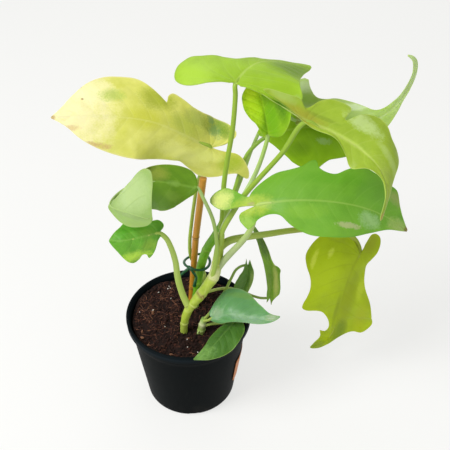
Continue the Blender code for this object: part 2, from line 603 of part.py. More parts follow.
def blade_point(leaf, frame, a, b):
    """A place on the leaf's middle surface, a along the midrib and b out from it, right side positive."""
    places, ways, ups, along = frame
    reach = along[-1]
    way = unit(read_curve(a, along, ways))
    centre = read_curve(a, along, places) + way * np.minimum(a - along[0], 0)[..., None]
    up = read_curve(a, along, ups)
    up = unit(up - way * np.sum(up * way, axis=-1, keepdims=True))
    right = np.cross(way, up)
    stations = (0.0, 0.5, 1.0)
    is_right = b > 0
    fold = np.where(is_right, np.interp(a / reach, stations, leaf.get("fold_right", leaf["fold"])),
                    np.interp(a / reach, stations, leaf["fold"]))
    bend = np.where(is_right, np.interp(a / reach, stations, leaf.get("bend_right", leaf["bend"])),
                    np.interp(a / reach, stations, leaf["bend"]))
    fold = np.radians(fold)
    curl = np.radians(bend) / leaf["half_width"]
    curl = np.where(np.abs(curl) < 1e-6, 1e-6, curl)
    q = np.abs(b)
    out = (np.sin(fold + curl * q) - np.sin(fold)) / curl
    rise = (np.cos(fold) - np.cos(fold + curl * q)) / curl
    return centre + right * (np.sign(b) * out)[..., None] + up * rise[..., None]


def margin_curve(leaf, side, reach):
    """One half's edge as a dense curve from the back of its lobe to the tip, with its running length."""
    points = np.vstack([leaf[side], (reach, 0.6)]).astype(float)
    places, _ = smooth_curve(points)
    places[:, 1] = np.maximum(places[:, 1], 0.6)
    return places, run_length(places)


def blade_rows(leaf, columns, count):
    """The middle surface as rows that run like veins, from the left edge over the midrib to the right.

    The first rows fan back into the lobes from the junction. Each later row leaves the midrib at its own
    station and meets each edge a little further on, as the side veins of the leaf do.
    """
    frame = blade_frame(leaf)
    reach = frame[3][-1]
    edges = []
    for side in ("left", "right"):
        places, length = margin_curve(leaf, side, reach)
        station = places[:, 0] - VEIN_SLANT * places[:, 1]
        behind = np.nonzero(station <= 0)[0]
        turn = behind[-1] if len(behind) else 0
        edges.append((places, length, station, turn))
    lobe_share = sum(length[turn] / length[-1] for _, length, _, turn in edges) / 2
    lobe_rows = max(1, int(round(count * lobe_share * 0.85)))
    neck = NECK_STEP * lobe_rows
    start = np.concatenate([np.linspace(0, neck, lobe_rows, endpoint=False),
                            np.linspace(neck, reach, count - lobe_rows)])
    ends = []
    for places, length, station, turn in edges:
        rise = np.maximum.accumulate(np.maximum(station[turn:], 0))
        even = reach * (length[turn:] - length[turn]) / (length[-1] - length[turn])
        rise = 0.85 * rise * reach / rise[-1] + 0.15 * even
        aim = (start[lobe_rows:] - neck) / (reach - neck) * reach
        at = np.concatenate([np.linspace(0, length[turn], lobe_rows, endpoint=False),
                             np.interp(aim, rise, length[turn:])])
        ends.append(read_curve(at, length, places))
    across = np.linspace(-1, 1, columns)
    rows_a = np.empty((count, columns))
    rows_b = np.empty((count, columns))
    for c, share in enumerate(across):
        edge = ends[0] if share < 0 else ends[1]
        size = abs(share) ** 1.1
        rows_a[:, c] = start + (edge[:, 0] - start) * size
        rows_b[:, c] = np.sign(share) * edge[:, 1] * size
    rows_b[:, columns // 2] = 0
    return frame, rows_a, rows_b


def blade_faces(leaf, columns, count, thickness):
    """Top and bottom points of the blade, row by row, thickened across its own slope."""
    frame, rows_a, rows_b = blade_rows(leaf, columns, count)
    middle = blade_point(leaf, frame, rows_a, rows_b)
    step = 0.2
    side = np.where(rows_b > 0, 1.0, -1.0)
    ahead = blade_point(leaf, frame, rows_a + step, rows_b)
    beside = blade_point(leaf, frame, rows_a, rows_b + step * side)
    normal = unit(np.cross(ahead - middle, (beside - middle) * -side[..., None]))
    half = columns // 2
    over = blade_point(leaf, frame, rows_a[:, half], rows_b[:, half] + step)
    other = unit(np.cross(ahead[:, half] - middle[:, half], middle[:, half] - over))
    normal[:, half] = unit(normal[:, half] + other)
    top = middle + normal * thickness / 2
    under = middle - normal * thickness / 2
    fade = np.clip(1 - rows_a[:, half] / frame[3][-1], 0, 1)
    under[:, half] -= normal[:, half] * (RIB_DEPTH * fade)[:, None]
    return top, under


def blade_mesh(name, leaf):
    top, under = blade_faces(leaf, COLUMNS, BLADE_RINGS, BLADE)
    rows, columns = top.shape[:2]
    points = [tuple(point) for point in np.concatenate([top.reshape(-1, 3), under.reshape(-1, 3)])]
    shift = rows * columns
    faces = []
    for j in range(rows - 1):
        for c in range(columns - 1):
            a, b = j * columns + c, j * columns + c + 1
            d, e = a + columns, b + columns
            faces += [(a, b, e), (a, e, d)]
            faces += [(e + shift, b + shift, a + shift), (d + shift, e + shift, a + shift)]
        a, d = j * columns, (j + 1) * columns
        faces += [(a + shift, a, d), (a + shift, d, d + shift)]
        b, e = a + columns - 1, d + columns - 1
        faces += [(b, b + shift, e + shift), (b, e + shift, e)]
    for c in range(columns - 1):
        a, b = c, c + 1
        faces += [(a, a + shift, b + shift), (a, b + shift, b)]
        a, b = shift - columns + c, shift - columns + c + 1
        faces += [(b, b + shift, a + shift), (b, a + shift, a)]
    return mesh_from(name, points, faces)


def make_leaf(name, leaf, stem_cutter):
    """A blade with its stalk joined on, coped where the stalk's foot meets the stem."""
    thing = add_object(name, blade_mesh(name, leaf), plain_material(name, leaf["colour"], 0.4))
    first, last = leaf["stalk_radius"]
    route = [np.array(point, float) for point in leaf["stalk"]]
    route.append(np.array(leaf["rib"][1], float))
    radii = [first + (last - first) * (k / (len(route) - 1)) ** 0.7 for k in range(len(route))]
    length = run_length(smooth_curve(route)[0])[-1]
    stalk = tube(name + "_stalk", route, radii, STALK_SIDES, max(length / STALK_RINGS, 3.0))
    hide_cutter(stalk)
    boolean(thing, stalk, "UNION")
    boolean(thing, stem_cutter)
    return thing


def make_stem(name, stem, material, sides=10, spacing=7.0):
    thing = tube(name, stem["route"], stem["radii"], sides, spacing, material)
    grown = [radius + CLEARANCE for radius in stem["radii"]]
    route = [np.array(point, float) for point in stem["route"]]
    route[-1] = route[-1] + unit(route[-1] - route[-2]) * CLEARANCE
    route[0] = route[0] - unit(route[1] - route[0]) * CLEARANCE
    cutter = tube(name + "_clearance", route, grown, sides, spacing)
    hide_cutter(cutter)
    return thing, cutter


def build_plant():
    clear_scene()
    black = plain_material("black_plastic", (0.02, 0.025, 0.028), 0.45)
    make_pot(black)
    stem_green = plain_material("stem_green", (0.55, 0.66, 0.22), 0.5)
    stems, cutters = {}, {}
    for key, name, stem in (("main", "main_stem", MAIN_STEM), ("climbing", "climbing_stem", CLIMBING_STEM),
                            ("young", "young_stem", YOUNG_STEM)):
        stems[key], cutters[key] = make_stem(name, stem, stem_green)
    make_cane(plain_material("bamboo", (0.62, 0.36, 0.13), 0.5))
    foot, above = CANE_ROUTE[0][2], SOIL_TOP + 25
    route = [cane_centre(height) for height in (foot - CLEARANCE, (foot + above) / 2, above)]
    cane_cutter = tube("cane_clearance", route, (CANE_FOOT_RADIUS + 2 * CLEARANCE,) * 3, 12, 60)
    hide_cutter(cane_cutter)
    make_soil(plain_material("coir_soil", (0.10, 0.055, 0.04), 0.95), [*cutters.values(), cane_cutter])
    make_tie(plain_material("green_wire", (0.03, 0.28, 0.12), 0.35))
    make_label(plain_material("orange_label", (0.85, 0.30, 0.06), 0.5))
    for name, leaf in LEAVES.items():
        make_leaf(name, leaf, cutters[leaf["stem"]])


build_plant()
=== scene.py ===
# %% [markdown]
# This lesson dresses a packed plant in a nursery pot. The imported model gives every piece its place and
# size. Here each leaf gets a finer blade with veins and waves, the potting mix gets crumbs and fibres,
# and every surface gets a finish made of shader nodes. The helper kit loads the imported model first, so
# that everything below is built in its frame, in metres with +Z up.

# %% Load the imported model
import math

import bpy
import numpy as np
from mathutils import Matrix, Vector, noise


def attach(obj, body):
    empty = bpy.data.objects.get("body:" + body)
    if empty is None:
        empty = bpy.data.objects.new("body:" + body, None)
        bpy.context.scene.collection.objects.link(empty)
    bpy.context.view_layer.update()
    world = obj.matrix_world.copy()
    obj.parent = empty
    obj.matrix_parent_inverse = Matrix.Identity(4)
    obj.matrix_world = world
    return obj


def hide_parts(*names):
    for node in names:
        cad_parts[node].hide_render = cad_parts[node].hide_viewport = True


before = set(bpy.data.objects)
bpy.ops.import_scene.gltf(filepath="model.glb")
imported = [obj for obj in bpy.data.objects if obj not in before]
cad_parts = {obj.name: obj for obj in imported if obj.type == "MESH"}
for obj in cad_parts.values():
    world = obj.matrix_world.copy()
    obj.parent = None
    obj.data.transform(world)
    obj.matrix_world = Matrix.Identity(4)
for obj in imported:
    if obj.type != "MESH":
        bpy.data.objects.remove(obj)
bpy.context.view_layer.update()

print("packed nodes:", len(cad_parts))

# %% [markdown]
# Lengths are easier to read in millimetres, so every route and outline below is in millimetres and is
# turned into metres when a mesh is made. A smooth curve through a few chosen points replaces hundreds of
# typed ones: each span is a cubic whose slopes come from its neighbours.

# %% Curves through chosen points
MM = 0.001


def unit(vectors):
    vectors = np.asarray(vectors, float)
    return vectors / np.maximum(np.linalg.norm(vectors, axis=-1, keepdims=True), 1e-9)


def smooth_curve(points, steps=12):
    """A curve through the points, and the point number that each of its places stands for."""
    points = np.asarray(points, float)
    gaps = np.maximum(np.linalg.norm(np.diff(points, axis=0), axis=1), 1e-6) ** 0.5
    knots = np.concatenate([[0], np.cumsum(gaps)])
    slopes = np.diff(points, axis=0) / gaps[:, None]
    turn = np.zeros_like(points)
    for i in range(1, len(points) - 1):
        turn[i] = (slopes[i - 1] * gaps[i] + slopes[i] * gaps[i - 1]) / (gaps[i] + gaps[i - 1])
    turn[0] = 2 * slopes[0] - turn[1]
    turn[-1] = 2 * slopes[-1] - turn[-2]
    places, numbers = [], []
    for i in range(len(points) - 1):
        width = knots[i + 1] - knots[i]
        for step in range(steps):
            t = step / steps
            places.append((2 * t**3 - 3 * t**2 + 1) * points[i] + (t**3 - 2 * t**2 + t) * width * turn[i]
                          + (3 * t**2 - 2 * t**3) * points[i + 1] + (t**3 - t**2) * width * turn[i + 1])
            numbers.append(i + t)
    places.append(points[-1])
    numbers.append(len(points) - 1.0)
    return np.array(places), np.array(numbers)


def run_length(places):
    return np.concatenate([[0], np.cumsum(np.linalg.norm(np.diff(places, axis=0), axis=1))])


def read_curve(at, length, values):
    return np.stack([np.interp(at, length, values[:, axis]) for axis in range(values.shape[1])], -1)


square = ((0, 0), (1, 0), (1, 1), (0, 1))
print("a curve through four corners of a square has", len(smooth_curve(square)[0]), "places")

# %% [markdown]
# A material is a small graph of nodes. Wiring it by hand is slow to read, so one class wraps a socket
# and lets Python's own signs add the Math nodes: 1 - mask or cloud * 0.3 reads like arithmetic.

# %% Shader maths as Python expressions


class Flow:
    """A number or vector that changes over a surface. Signs between flows add Math nodes."""

    def __init__(self, paint, socket):
        self.paint, self.socket = paint, socket

    def math(self, operation, other=0.0, swap=False, clamp=False):
        pair = (other, self) if swap else (self, other)
        settings = {"operation": operation, "use_clamp": clamp}
        return self.paint.node("ShaderNodeMath", settings, {0: pair[0], 1: pair[1]})

    def __add__(self, other):
        return self.math("ADD", other)

    def __sub__(self, other):
        return self.math("SUBTRACT", other)

    def __rsub__(self, other):
        return self.math("SUBTRACT", other, swap=True)

    def __mul__(self, other):
        return self.math("MULTIPLY", other)

    def __truediv__(self, other):
        return self.math("DIVIDE", other)

    def __pow__(self, other):
        return self.math("POWER", other)

    def __abs__(self):
        return self.math("ABSOLUTE")

    __radd__ = __add__
    __rmul__ = __mul__

    def clamp(self):
        return self.math("ADD", 0.0, clamp=True)

    def larger(self, other):
        return self.math("MAXIMUM", other)

    def to_nearest_whole(self):
        """How far a number is from the nearest whole one: 0 on it, a half between two."""
        return self.math("PINGPONG", 0.5)


print("signs that add a Math node: + - * / **")

# %% [markdown]
# A second class holds the material being made. It adds any other node through one method, which sets the
# node's options first and its sockets after, because some sockets only appear once an option is set.

# %% A material while it is made


class Paint:
    """One material while it is made."""

    def __init__(self, name):
        self.material = bpy.data.materials.new(name)
        self.material.use_nodes = True
        self.tree = self.material.node_tree
        self.shader = self.tree.nodes["Principled BSDF"]

    def fill(self, socket, value):
        if isinstance(value, Flow):
            self.tree.links.new(value.socket, socket)
        else:
            socket.default_value = value

    def node(self, kind, settings=None, sockets=None, output=0):
        made = self.tree.nodes.new(kind)
        for key, value in (settings or {}).items():
            if key == "stops":
                ramp = made.color_ramp
                while len(ramp.elements) < len(value):
                    ramp.elements.new(0.5)
                for stop, (place, colour) in zip(ramp.elements, value):
                    stop.position, stop.color = place, colour
            else:
                setattr(made, key, value)
        for key, value in (sockets or {}).items():
            self.fill(made.inputs[key], value)
        return Flow(self, made.outputs[output])

    def split(self, vector):
        parts = self.node("ShaderNodeSeparateXYZ", sockets={0: vector}).socket.node
        return [Flow(self, socket) for socket in parts.outputs]

    def join(self, x, y, z):
        return self.node("ShaderNodeCombineXYZ", sockets={0: x, 1: y, 2: z})

    def fact(self, name):
        """The three numbers that a mesh carries under this name."""
        return self.split(self.node("ShaderNodeAttribute", {"attribute_name": name}, output="Vector"))

    def place(self):
        """Where a point is in the object, in metres."""
        return self.node("ShaderNodeTexCoord", output="Object")

    def stretch(self, vector, by):
        return self.node("ShaderNodeVectorMath", {"operation": "MULTIPLY"}, {0: vector, 1: by})

    def cloud(self, vector, scale, detail=3.0, roughness=0.55):
        sockets = {"Vector": vector, "Scale": scale, "Detail": detail, "Roughness": roughness}
        return self.node("ShaderNodeTexNoise", sockets=sockets)

    def cells(self, vector, scale, feature="DISTANCE_TO_EDGE", output="Distance"):
        sockets = {"Vector": vector, "Scale": scale}
        return self.node("ShaderNodeTexVoronoi", {"feature": feature}, sockets, output)

    def mix(self, first, second, share):
        sockets = {0: share, 6: first, 7: second}
        return self.node("ShaderNodeMix", {"data_type": "RGBA", "clamp_factor": True}, sockets, 2)

    def ramp(self, share, stops):
        return self.node("ShaderNodeValToRGB", {"stops": stops}, {0: share})

    def finish(self, colour, roughness, height=None, depth=0.0003, **constants):
        """Feeds the shader. height is a flow in 0 to 1, and depth is what 1 stands out by, in metres."""
        self.fill(self.shader.inputs["Base Color"], colour)
        self.fill(self.shader.inputs["Roughness"], roughness)
        if height is not None:
            bump = self.node("ShaderNodeBump", sockets={"Distance": depth, "Height": height})
            self.fill(self.shader.inputs["Normal"], bump)
        for name, value in constants.items():
            self.shader.inputs[name.replace("_", " ")].default_value = value
        return self.material


def tint(code):
    """A colour written as on a paint card, as the linear numbers that shaders use."""
    values = [int(code[k:k + 2], 16) / 255 for k in (0, 2, 4)]
    return (*[v / 12.92 if v <= 0.04045 else ((v + 0.055) / 1.055) ** 2.4 for v in values], 1.0)


print("mid grey as linear numbers:", [round(v, 3) for v in tint("808080")])

# %% [markdown]
# The camera looks down on the plant at about forty degrees, from just over half a metre away, and the
# floor is a pale sheet that runs past the picture on all sides. A soft lamp on the left makes the faint
# shadow at the right of the pot, two weaker and wider ones fill the right side and the back, and a pale
# sky lifts the rest.

# %% Camera, floor and lamps
CAMERA_PLACE = (0.035, -0.530, 0.638)
CAMERA_PITCH = math.radians(51.0)
CAMERA_LENS = 62.4
LAMP_AIM = Vector((0.03, 0.0, 0.15))
LAMPS = (("key_lamp", (-1.0, -0.6, 1.5), 0.8, 28.0), ("fill_lamp", (1.2, -1.0, 1.1), 1.6, 5.0),
         ("back_lamp", (0.2, 1.4, 1.5), 1.6, 6.0))
SKY_STRENGTH = 0.42
FLOOR_GLOW = 0.67

lens = bpy.data.cameras.new("camera")
lens.lens = CAMERA_LENS
lens.sensor_width = 36.0
lens.clip_start = 0.01
camera = bpy.data.objects.new("camera", lens)
camera.location = CAMERA_PLACE
camera.rotation_euler = (CAMERA_PITCH, 0.0, 0.0)
bpy.context.scene.collection.objects.link(camera)
bpy.context.scene.camera = camera
bpy.context.scene.view_settings.view_transform = "Standard"

for name, place, size, power in LAMPS:
    lamp = bpy.data.lights.new(name, "AREA")
    lamp.size, lamp.energy = size, power
    holder = bpy.data.objects.new(name, lamp)
    holder.location = place
    holder.rotation_euler = (LAMP_AIM - Vector(place)).to_track_quat("-Z", "Y").to_euler()
    bpy.context.scene.collection.objects.link(holder)

sky = bpy.data.worlds.new("pale_sky")
sky.use_nodes = True
sky.node_tree.nodes["Background"].inputs["Color"].default_value = (1.0, 1.0, 1.0, 1.0)
sky.node_tree.nodes["Background"].inputs["Strength"].default_value = SKY_STRENGTH
bpy.context.scene.world = sky

floor_mesh = bpy.data.meshes.new("floor")
floor_mesh.from_pydata([(-4, -4, 0), (4, -4, 0), (4, 4, 0), (-4, 4, 0)], [], [(0, 1, 2, 3)])
floor = bpy.data.objects.new("floor", floor_mesh)
bpy.context.scene.collection.objects.link(floor)
sheet = Paint("pale_floor")
grain = sheet.cloud(sheet.place(), 900.0, 2.0)
pale = sheet.mix(tint("8a8a88"), tint("8e8e8c"), grain)
floor_mesh.materials.append(sheet.finish(pale, 0.9, Specular_IOR_Level=0.0, Emission_Strength=FLOOR_GLOW,
                                         Emission_Color=(1.0, 1.0, 0.985, 1.0)))
print("camera at", [round(v, 3) for v in camera.location], "lamps:", len(LAMPS))

# %% [markdown]
# Most pieces here are grown from rings or from a grid of points, so one helper turns points and faces
# into an object. Another hands it its finishes and stores named numbers on its points. A finish can read
# those numbers, such as how far a point lies along a leaf, and so its veins stay with the leaf's own
# shape.

# %% Points and faces into a piece


def new_object(name, points, faces):
    """An object in the scene, from points in millimetres."""
    mesh = bpy.data.meshes.new(name)
    mesh.from_pydata((np.asarray(points, float) * MM).tolist(), [], faces)
    thing = bpy.data.objects.new(name, mesh)
    bpy.context.scene.collection.objects.link(thing)
    return thing


def add_piece(name, points, faces, paints, nodes=(), face_paint=None, facts=None, sharp=None):
    """A finished piece. facts are named triples of numbers for its points, sharp is in degrees."""
    piece = new_object(name, points, faces)
    mesh = piece.data
    for paint in paints:
        mesh.materials.append(paint)
    if face_paint is not None:
        mesh.polygons.foreach_set("material_index", np.asarray(face_paint, int))
    for label, values in (facts or {}).items():
        layer = mesh.attributes.new(label, "FLOAT_VECTOR", "POINT")
        layer.data.foreach_set("vector", np.asarray(values, float).ravel())
    mesh.shade_smooth()
    if sharp:
        mesh.set_sharp_from_angle(angle=math.radians(sharp))
    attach(piece, "root")
    if nodes:
        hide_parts(*nodes)
    return piece


print("a point's millimetres are multiplied by", MM)

# %% [markdown]
# Round pieces are rings of points, each joined to the next. A few helpers lay the rings, number their
# faces, and run a tube along a smooth route.

# %% Rings and tubes


def even_turns(sides):
    return np.linspace(0, 2 * math.pi, sides, endpoint=False)


def level_ring(radius, height, turns):
    return np.column_stack([radius * np.cos(turns), radius * np.sin(turns), np.full(len(turns), height)])


def between_rings(low, high, sides):
    """Faces that join two rings. low and high are the numbers of their first points."""
    return [(low + k, low + (k + 1) % sides, high + (k + 1) % sides, high + k) for k in range(sides)]


def capped_faces(rings, sides):
    """Faces of a run of rings with a flat cap at each end."""
    last = (rings - 1) * sides
    faces = [face for low in range(0, last, sides) for face in between_rings(low, low + sides, sides)]
    return faces + [tuple(reversed(range(sides))), tuple(range(last, last + sides))]


def lump_faces(rings, sides):
    """Faces of a lump made of rings, with one point below them all and one above."""
    top = 1 + (rings - 1) * sides
    faces = [(0, 1 + (k + 1) % sides, 1 + k) for k in range(sides)]
    for low in range(1, top, sides):
        faces += between_rings(low, low + sides, sides)
    return faces + [(top + k, top + (k + 1) % sides, top + sides) for k in range(sides)]


def tube(route, radii, sides, spacing, flat=1.0):
    """Points, faces and (length, turn, radius) facts of a closed round skin along a smooth route."""
    places, numbers = smooth_curve(route)
    length = run_length(places)
    count = max(3, int(round(length[-1] / spacing)) + 1)
    at = np.linspace(0, length[-1], count)
    centres = read_curve(at, length, places)
    ways = unit(np.gradient(centres, axis=0))
    widths = np.interp(np.interp(at, length, numbers), np.arange(len(radii)), radii)
    across = unit(np.cross(ways[0], (0.3, 1.0, 0.2)))
    turns = even_turns(sides)
    points, facts = [], []
    for centre, way, width, where in zip(centres, ways, widths, at):
        across = unit(across - way * np.dot(across, way))
        up = np.cross(way, across)
        ring = centre + width * (np.cos(turns)[:, None] * across + flat * np.sin(turns)[:, None] * up)
        points.extend(ring)
        facts.extend(np.column_stack([np.full(sides, where), turns, np.full(sides, width)]))
    return np.array(points), capped_faces(count, sides), np.array(facts)


def fuse(parts):
    """Several (points, faces, facts) as one, with the number of faces from each."""
    points, faces, facts, counts, shift = [], [], [], [], 0
    for some_points, some_faces, some_facts in parts:
        points.append(some_points)
        facts.append(some_facts)
        faces.extend(tuple(corner + shift for corner in face) for face in some_faces)
        counts.append(len(some_faces))
        shift += len(some_points)
    return np.vstack(points), faces, np.vstack(facts), counts


straight = tube(((0, 0, 0), (0, 0, 5), (0, 0, 10)), (1, 1, 1), 12, 5)
print("a tube of 12 sides and 3 rings has", len(straight[1]), "faces")

# %% [markdown]
# Each leaf is described as a botanist would sketch it: the stalk's route, the midrib from behind the
# junction to the tip, the way its upper face looks, and the edge of each half as (along, out) from the
# midrib, all in millimetres. A fold tips each half up or down, and a bend curls it over the leaf's half
# width, in degrees near the junction, half way and at the tip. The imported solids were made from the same
# values, so the finer blade lies where they are. Only a few edges here follow the plant more closely:
# the fold and the waist of the rolled leaf, the right half of the upright one, and the half of the pale
# leaf that hangs behind the plant. First come the leaves of the left side and the crown.

# %% Leaves of the left side and the crown
LEAVES = {
    "leaf_cream": {
        "stalk_radius": (2.3, 1.7), "half_width": 38, "fold": (-35, -12, -5), "bend": (-30, -10, 0),
        "fold_right": (5, 4, 0), "bend_right": (-10, -10, 0),
        "stalk": ((8, 15, 119), (13, 20, 122), (15, 27, 126), (10, 32, 132), (4, 31, 140), (2, 29, 150),
                  (2, 30, 166), (4, 31, 185), (7, 32, 208), (11, 33, 232), (19, 32, 256)),
        "rib": ((44, 30, 269), (24, 28, 271), (3, 24, 285), (-24, 20, 301), (-64, 13, 311), (-103, 4, 315)),
        "face": ((0, -0.5, 0.87),) * 6,
        "left": ((-9, 2), (-16, 3), (-21, 5), (-25, 9), (-28, 16), (-29, 25), (-27, 30), (-23, 27),
                 (-19, 23), (-14, 23), (-7, 26), (1, 28), (8, 25), (20, 22), (30, 24), (50, 30), (72, 33),
                 (90, 31), (106, 26), (118, 19), (129, 8)),
        "right": ((-9, 3), (-16, 6), (-22, 10), (-23, 14), (-20, 20), (-14, 25), (3, 29), (19, 27),
                  (29, 28), (40, 31), (46, 32), (49, 28), (49, 22), (54, 26), (61, 32), (71, 38), (83, 39),
                  (96, 37), (109, 30), (121, 19), (132, 7)),
    },
    "leaf_rolled": {
        "stalk_radius": (2.2, 1.5), "half_width": 30, "fold": (0, 0, 0), "bend": (0, 0, 0),
        "stalk": ((22, -18, 158), (25, -20, 172), (27, -21, 186), (28, -20, 204), (25, -19, 229),
                  (18, -20, 251)),
        "rib": ((22, -17, 265), (12, -18, 263), (-6, -13, 263), (-27, -6, 260), (-44, -9, 256),
                (-55, -20, 254), (-57, -32, 256), (-50, -43, 260), (-36, -53, 262), (-21, -58, 261)),
        "face": ((-0.1, -0.75, 0.65), (-0.15, -0.8, 0.55), (-0.2, -0.95, 0.2), (-0.1, -1, -0.1),
                 (0.3, -0.85, -0.45), (0.7, -0.4, -0.6), (0.77, 0, -0.64), (0.6, 0.4, -0.7),
                 (0.2, 0.75, -0.6), (0, 0.92, -0.4)),
        "left": ((-1, 2), (1, 5), (6, 10), (13, 17), (25, 25), (36, 31), (45, 35), (53, 39), (59, 36),
                 (65, 22), (72, 9), (78, 4), (87, 3), (94, 4), (101, 6), (110, 9), (118, 10), (126, 8),
                 (132, 5)),
        "right": ((-1, 3), (0, 8), (3, 11), (8, 14), (21, 17), (36, 15), (43, 13), (49, 10), (55, 6),
                  (61, 3), (68, 2), (76, 2), (84, 3), (90, 7), (96, 15), (102, 25), (109, 33), (117, 37),
                  (125, 36), (129, 29), (131, 17), (133, 7)),
    },
    "leaf_crumpled": {
        "stalk_radius": (3.5, 2.2), "half_width": 20, "fold": (-10, -10, -10), "bend": (-40, -40, -20),
        "stalk": ((1, -18, 127), (-4, -18, 144), (-7, -21, 166), (-8, -23, 186), (-11, -25, 204),
                  (-15, -27, 217)),
        "rib": ((-14, -27, 224), (-20, -28, 223), (-29, -30, 222), (-39, -34, 222), (-50, -37, 222),
                (-61, -37, 222)),
        "face": ((-0.1, -0.7, 0.7),) * 6,
        "left": ((-1, 3), (2, 6), (4, 10), (6, 14), (9, 18), (12, 20), (14, 16), (17, 16), (20, 20),
                 (24, 22), (28, 20), (32, 15), (36, 9), (40, 4)),
        "right": ((-2, 2), (-5, 6), (-4, 10), (-1, 13), (5, 13), (11, 17), (19, 20), (26, 18), (33, 13),
                  (39, 7)),
    },
    "leaf_top": {
        "stalk_radius": (2.6, 1.9), "half_width": 45, "fold": (4, -8, -5), "bend": (-15, -25, -10),
        "fold_right": (0, 5, 0), "bend_right": (-25, -10, 0),
        "stalk": ((30, 12, 193), (32, 8, 204), (33, 6, 221), (34, 5, 248), (37, 4, 275), (41, 2, 305),
                  (43, 0, 338)),
        "rib": ((40, -12, 347), (43, 0, 348), (53, 18, 351), (65, 33, 349), (85, 48, 340), (107, 59, 331)),
        "face": ((0, -0.5, 0.87), (0, -0.5, 0.87), (-0.05, -0.4, 0.9), (0.1, -0.1, 1), (0.3, 0.1, 0.95),
                 (0.4, 0, 0.9)),
        "left": ((-2, 4), (-5, 12), (-10, 26), (-10, 38), (-7, 46), (-2, 48), (4, 47), (11, 45), (15, 38),
                 (20, 31), (24, 22), (27, 15), (34, 11), (44, 10), (52, 7), (67, 5), (82, 4)),
        "right": ((-2, 5), (0, 10), (2, 19), (4, 28), (7, 37), (10, 45), (15, 51), (24, 50), (35, 46),
                  (55, 32), (74, 18), (86, 9)),
    },
    "leaf_arched": {
        "stalk_radius": (2.6, 2.0), "half_width": 38, "fold": (30, 35, 10), "bend": (-45, -70, -30),
        "fold_right": (20, -20, -10), "bend_right": (-20, -20, 0),
        "stalk": ((30, -12, 194), (31, -16, 207), (33, -17, 217), (41, -16, 234), (50, -14, 250),
                  (62, -13, 267), (80, -15, 294)),
        "rib": ((83, -16, 334), (97, -20, 327), (119, -26, 319), (138, -36, 311), (151, -50, 303),
                (156, -59, 292), (156, -64, 281), (153, -68, 268)),
        "face": ((0, -0.3, 0.95), (0, -0.3, 0.95), (0, -0.3, 0.95), (0.2, -0.4, 0.9), (0.75, -0.5, 0.45),
                 (0.8, -0.5, 0), (0.8, -0.5, -0.2), (0.8, -0.5, -0.2)),
        "left": ((-41, 2), (-38, 5), (-33, 7), (-27, 9), (-21, 11), (-14, 13), (-10, 12), (-7, 9), (-4, 9),
                 (-1, 13), (2, 18), (8, 23), (14, 26), (20, 27), (25, 26), (26, 20), (25, 14), (26, 13),
                 (29, 17), (33, 24), (38, 30), (43, 34), (48, 33), (55, 28), (62, 27), (67, 25), (72, 19),
                 (77, 12), (84, 6), (94, 3), (106, 2)),
        "right": ((-39, 1), (-30, 1), (-16, 1), (-7, 2), (3, 3), (15, 4), (27, 5), (38, 10), (51, 16),
                  (57, 13), (63, 9), (69, 6), (76, 3), (88, 3), (96, 3), (106, 2)),
    },
}
print("leaves so far:", len(LEAVES))

# %% [markdown]
# Next come the leaves of the right side and the middle. The hanging one turns its tip down beside the
# pot, and the narrow one stands nearly upright.

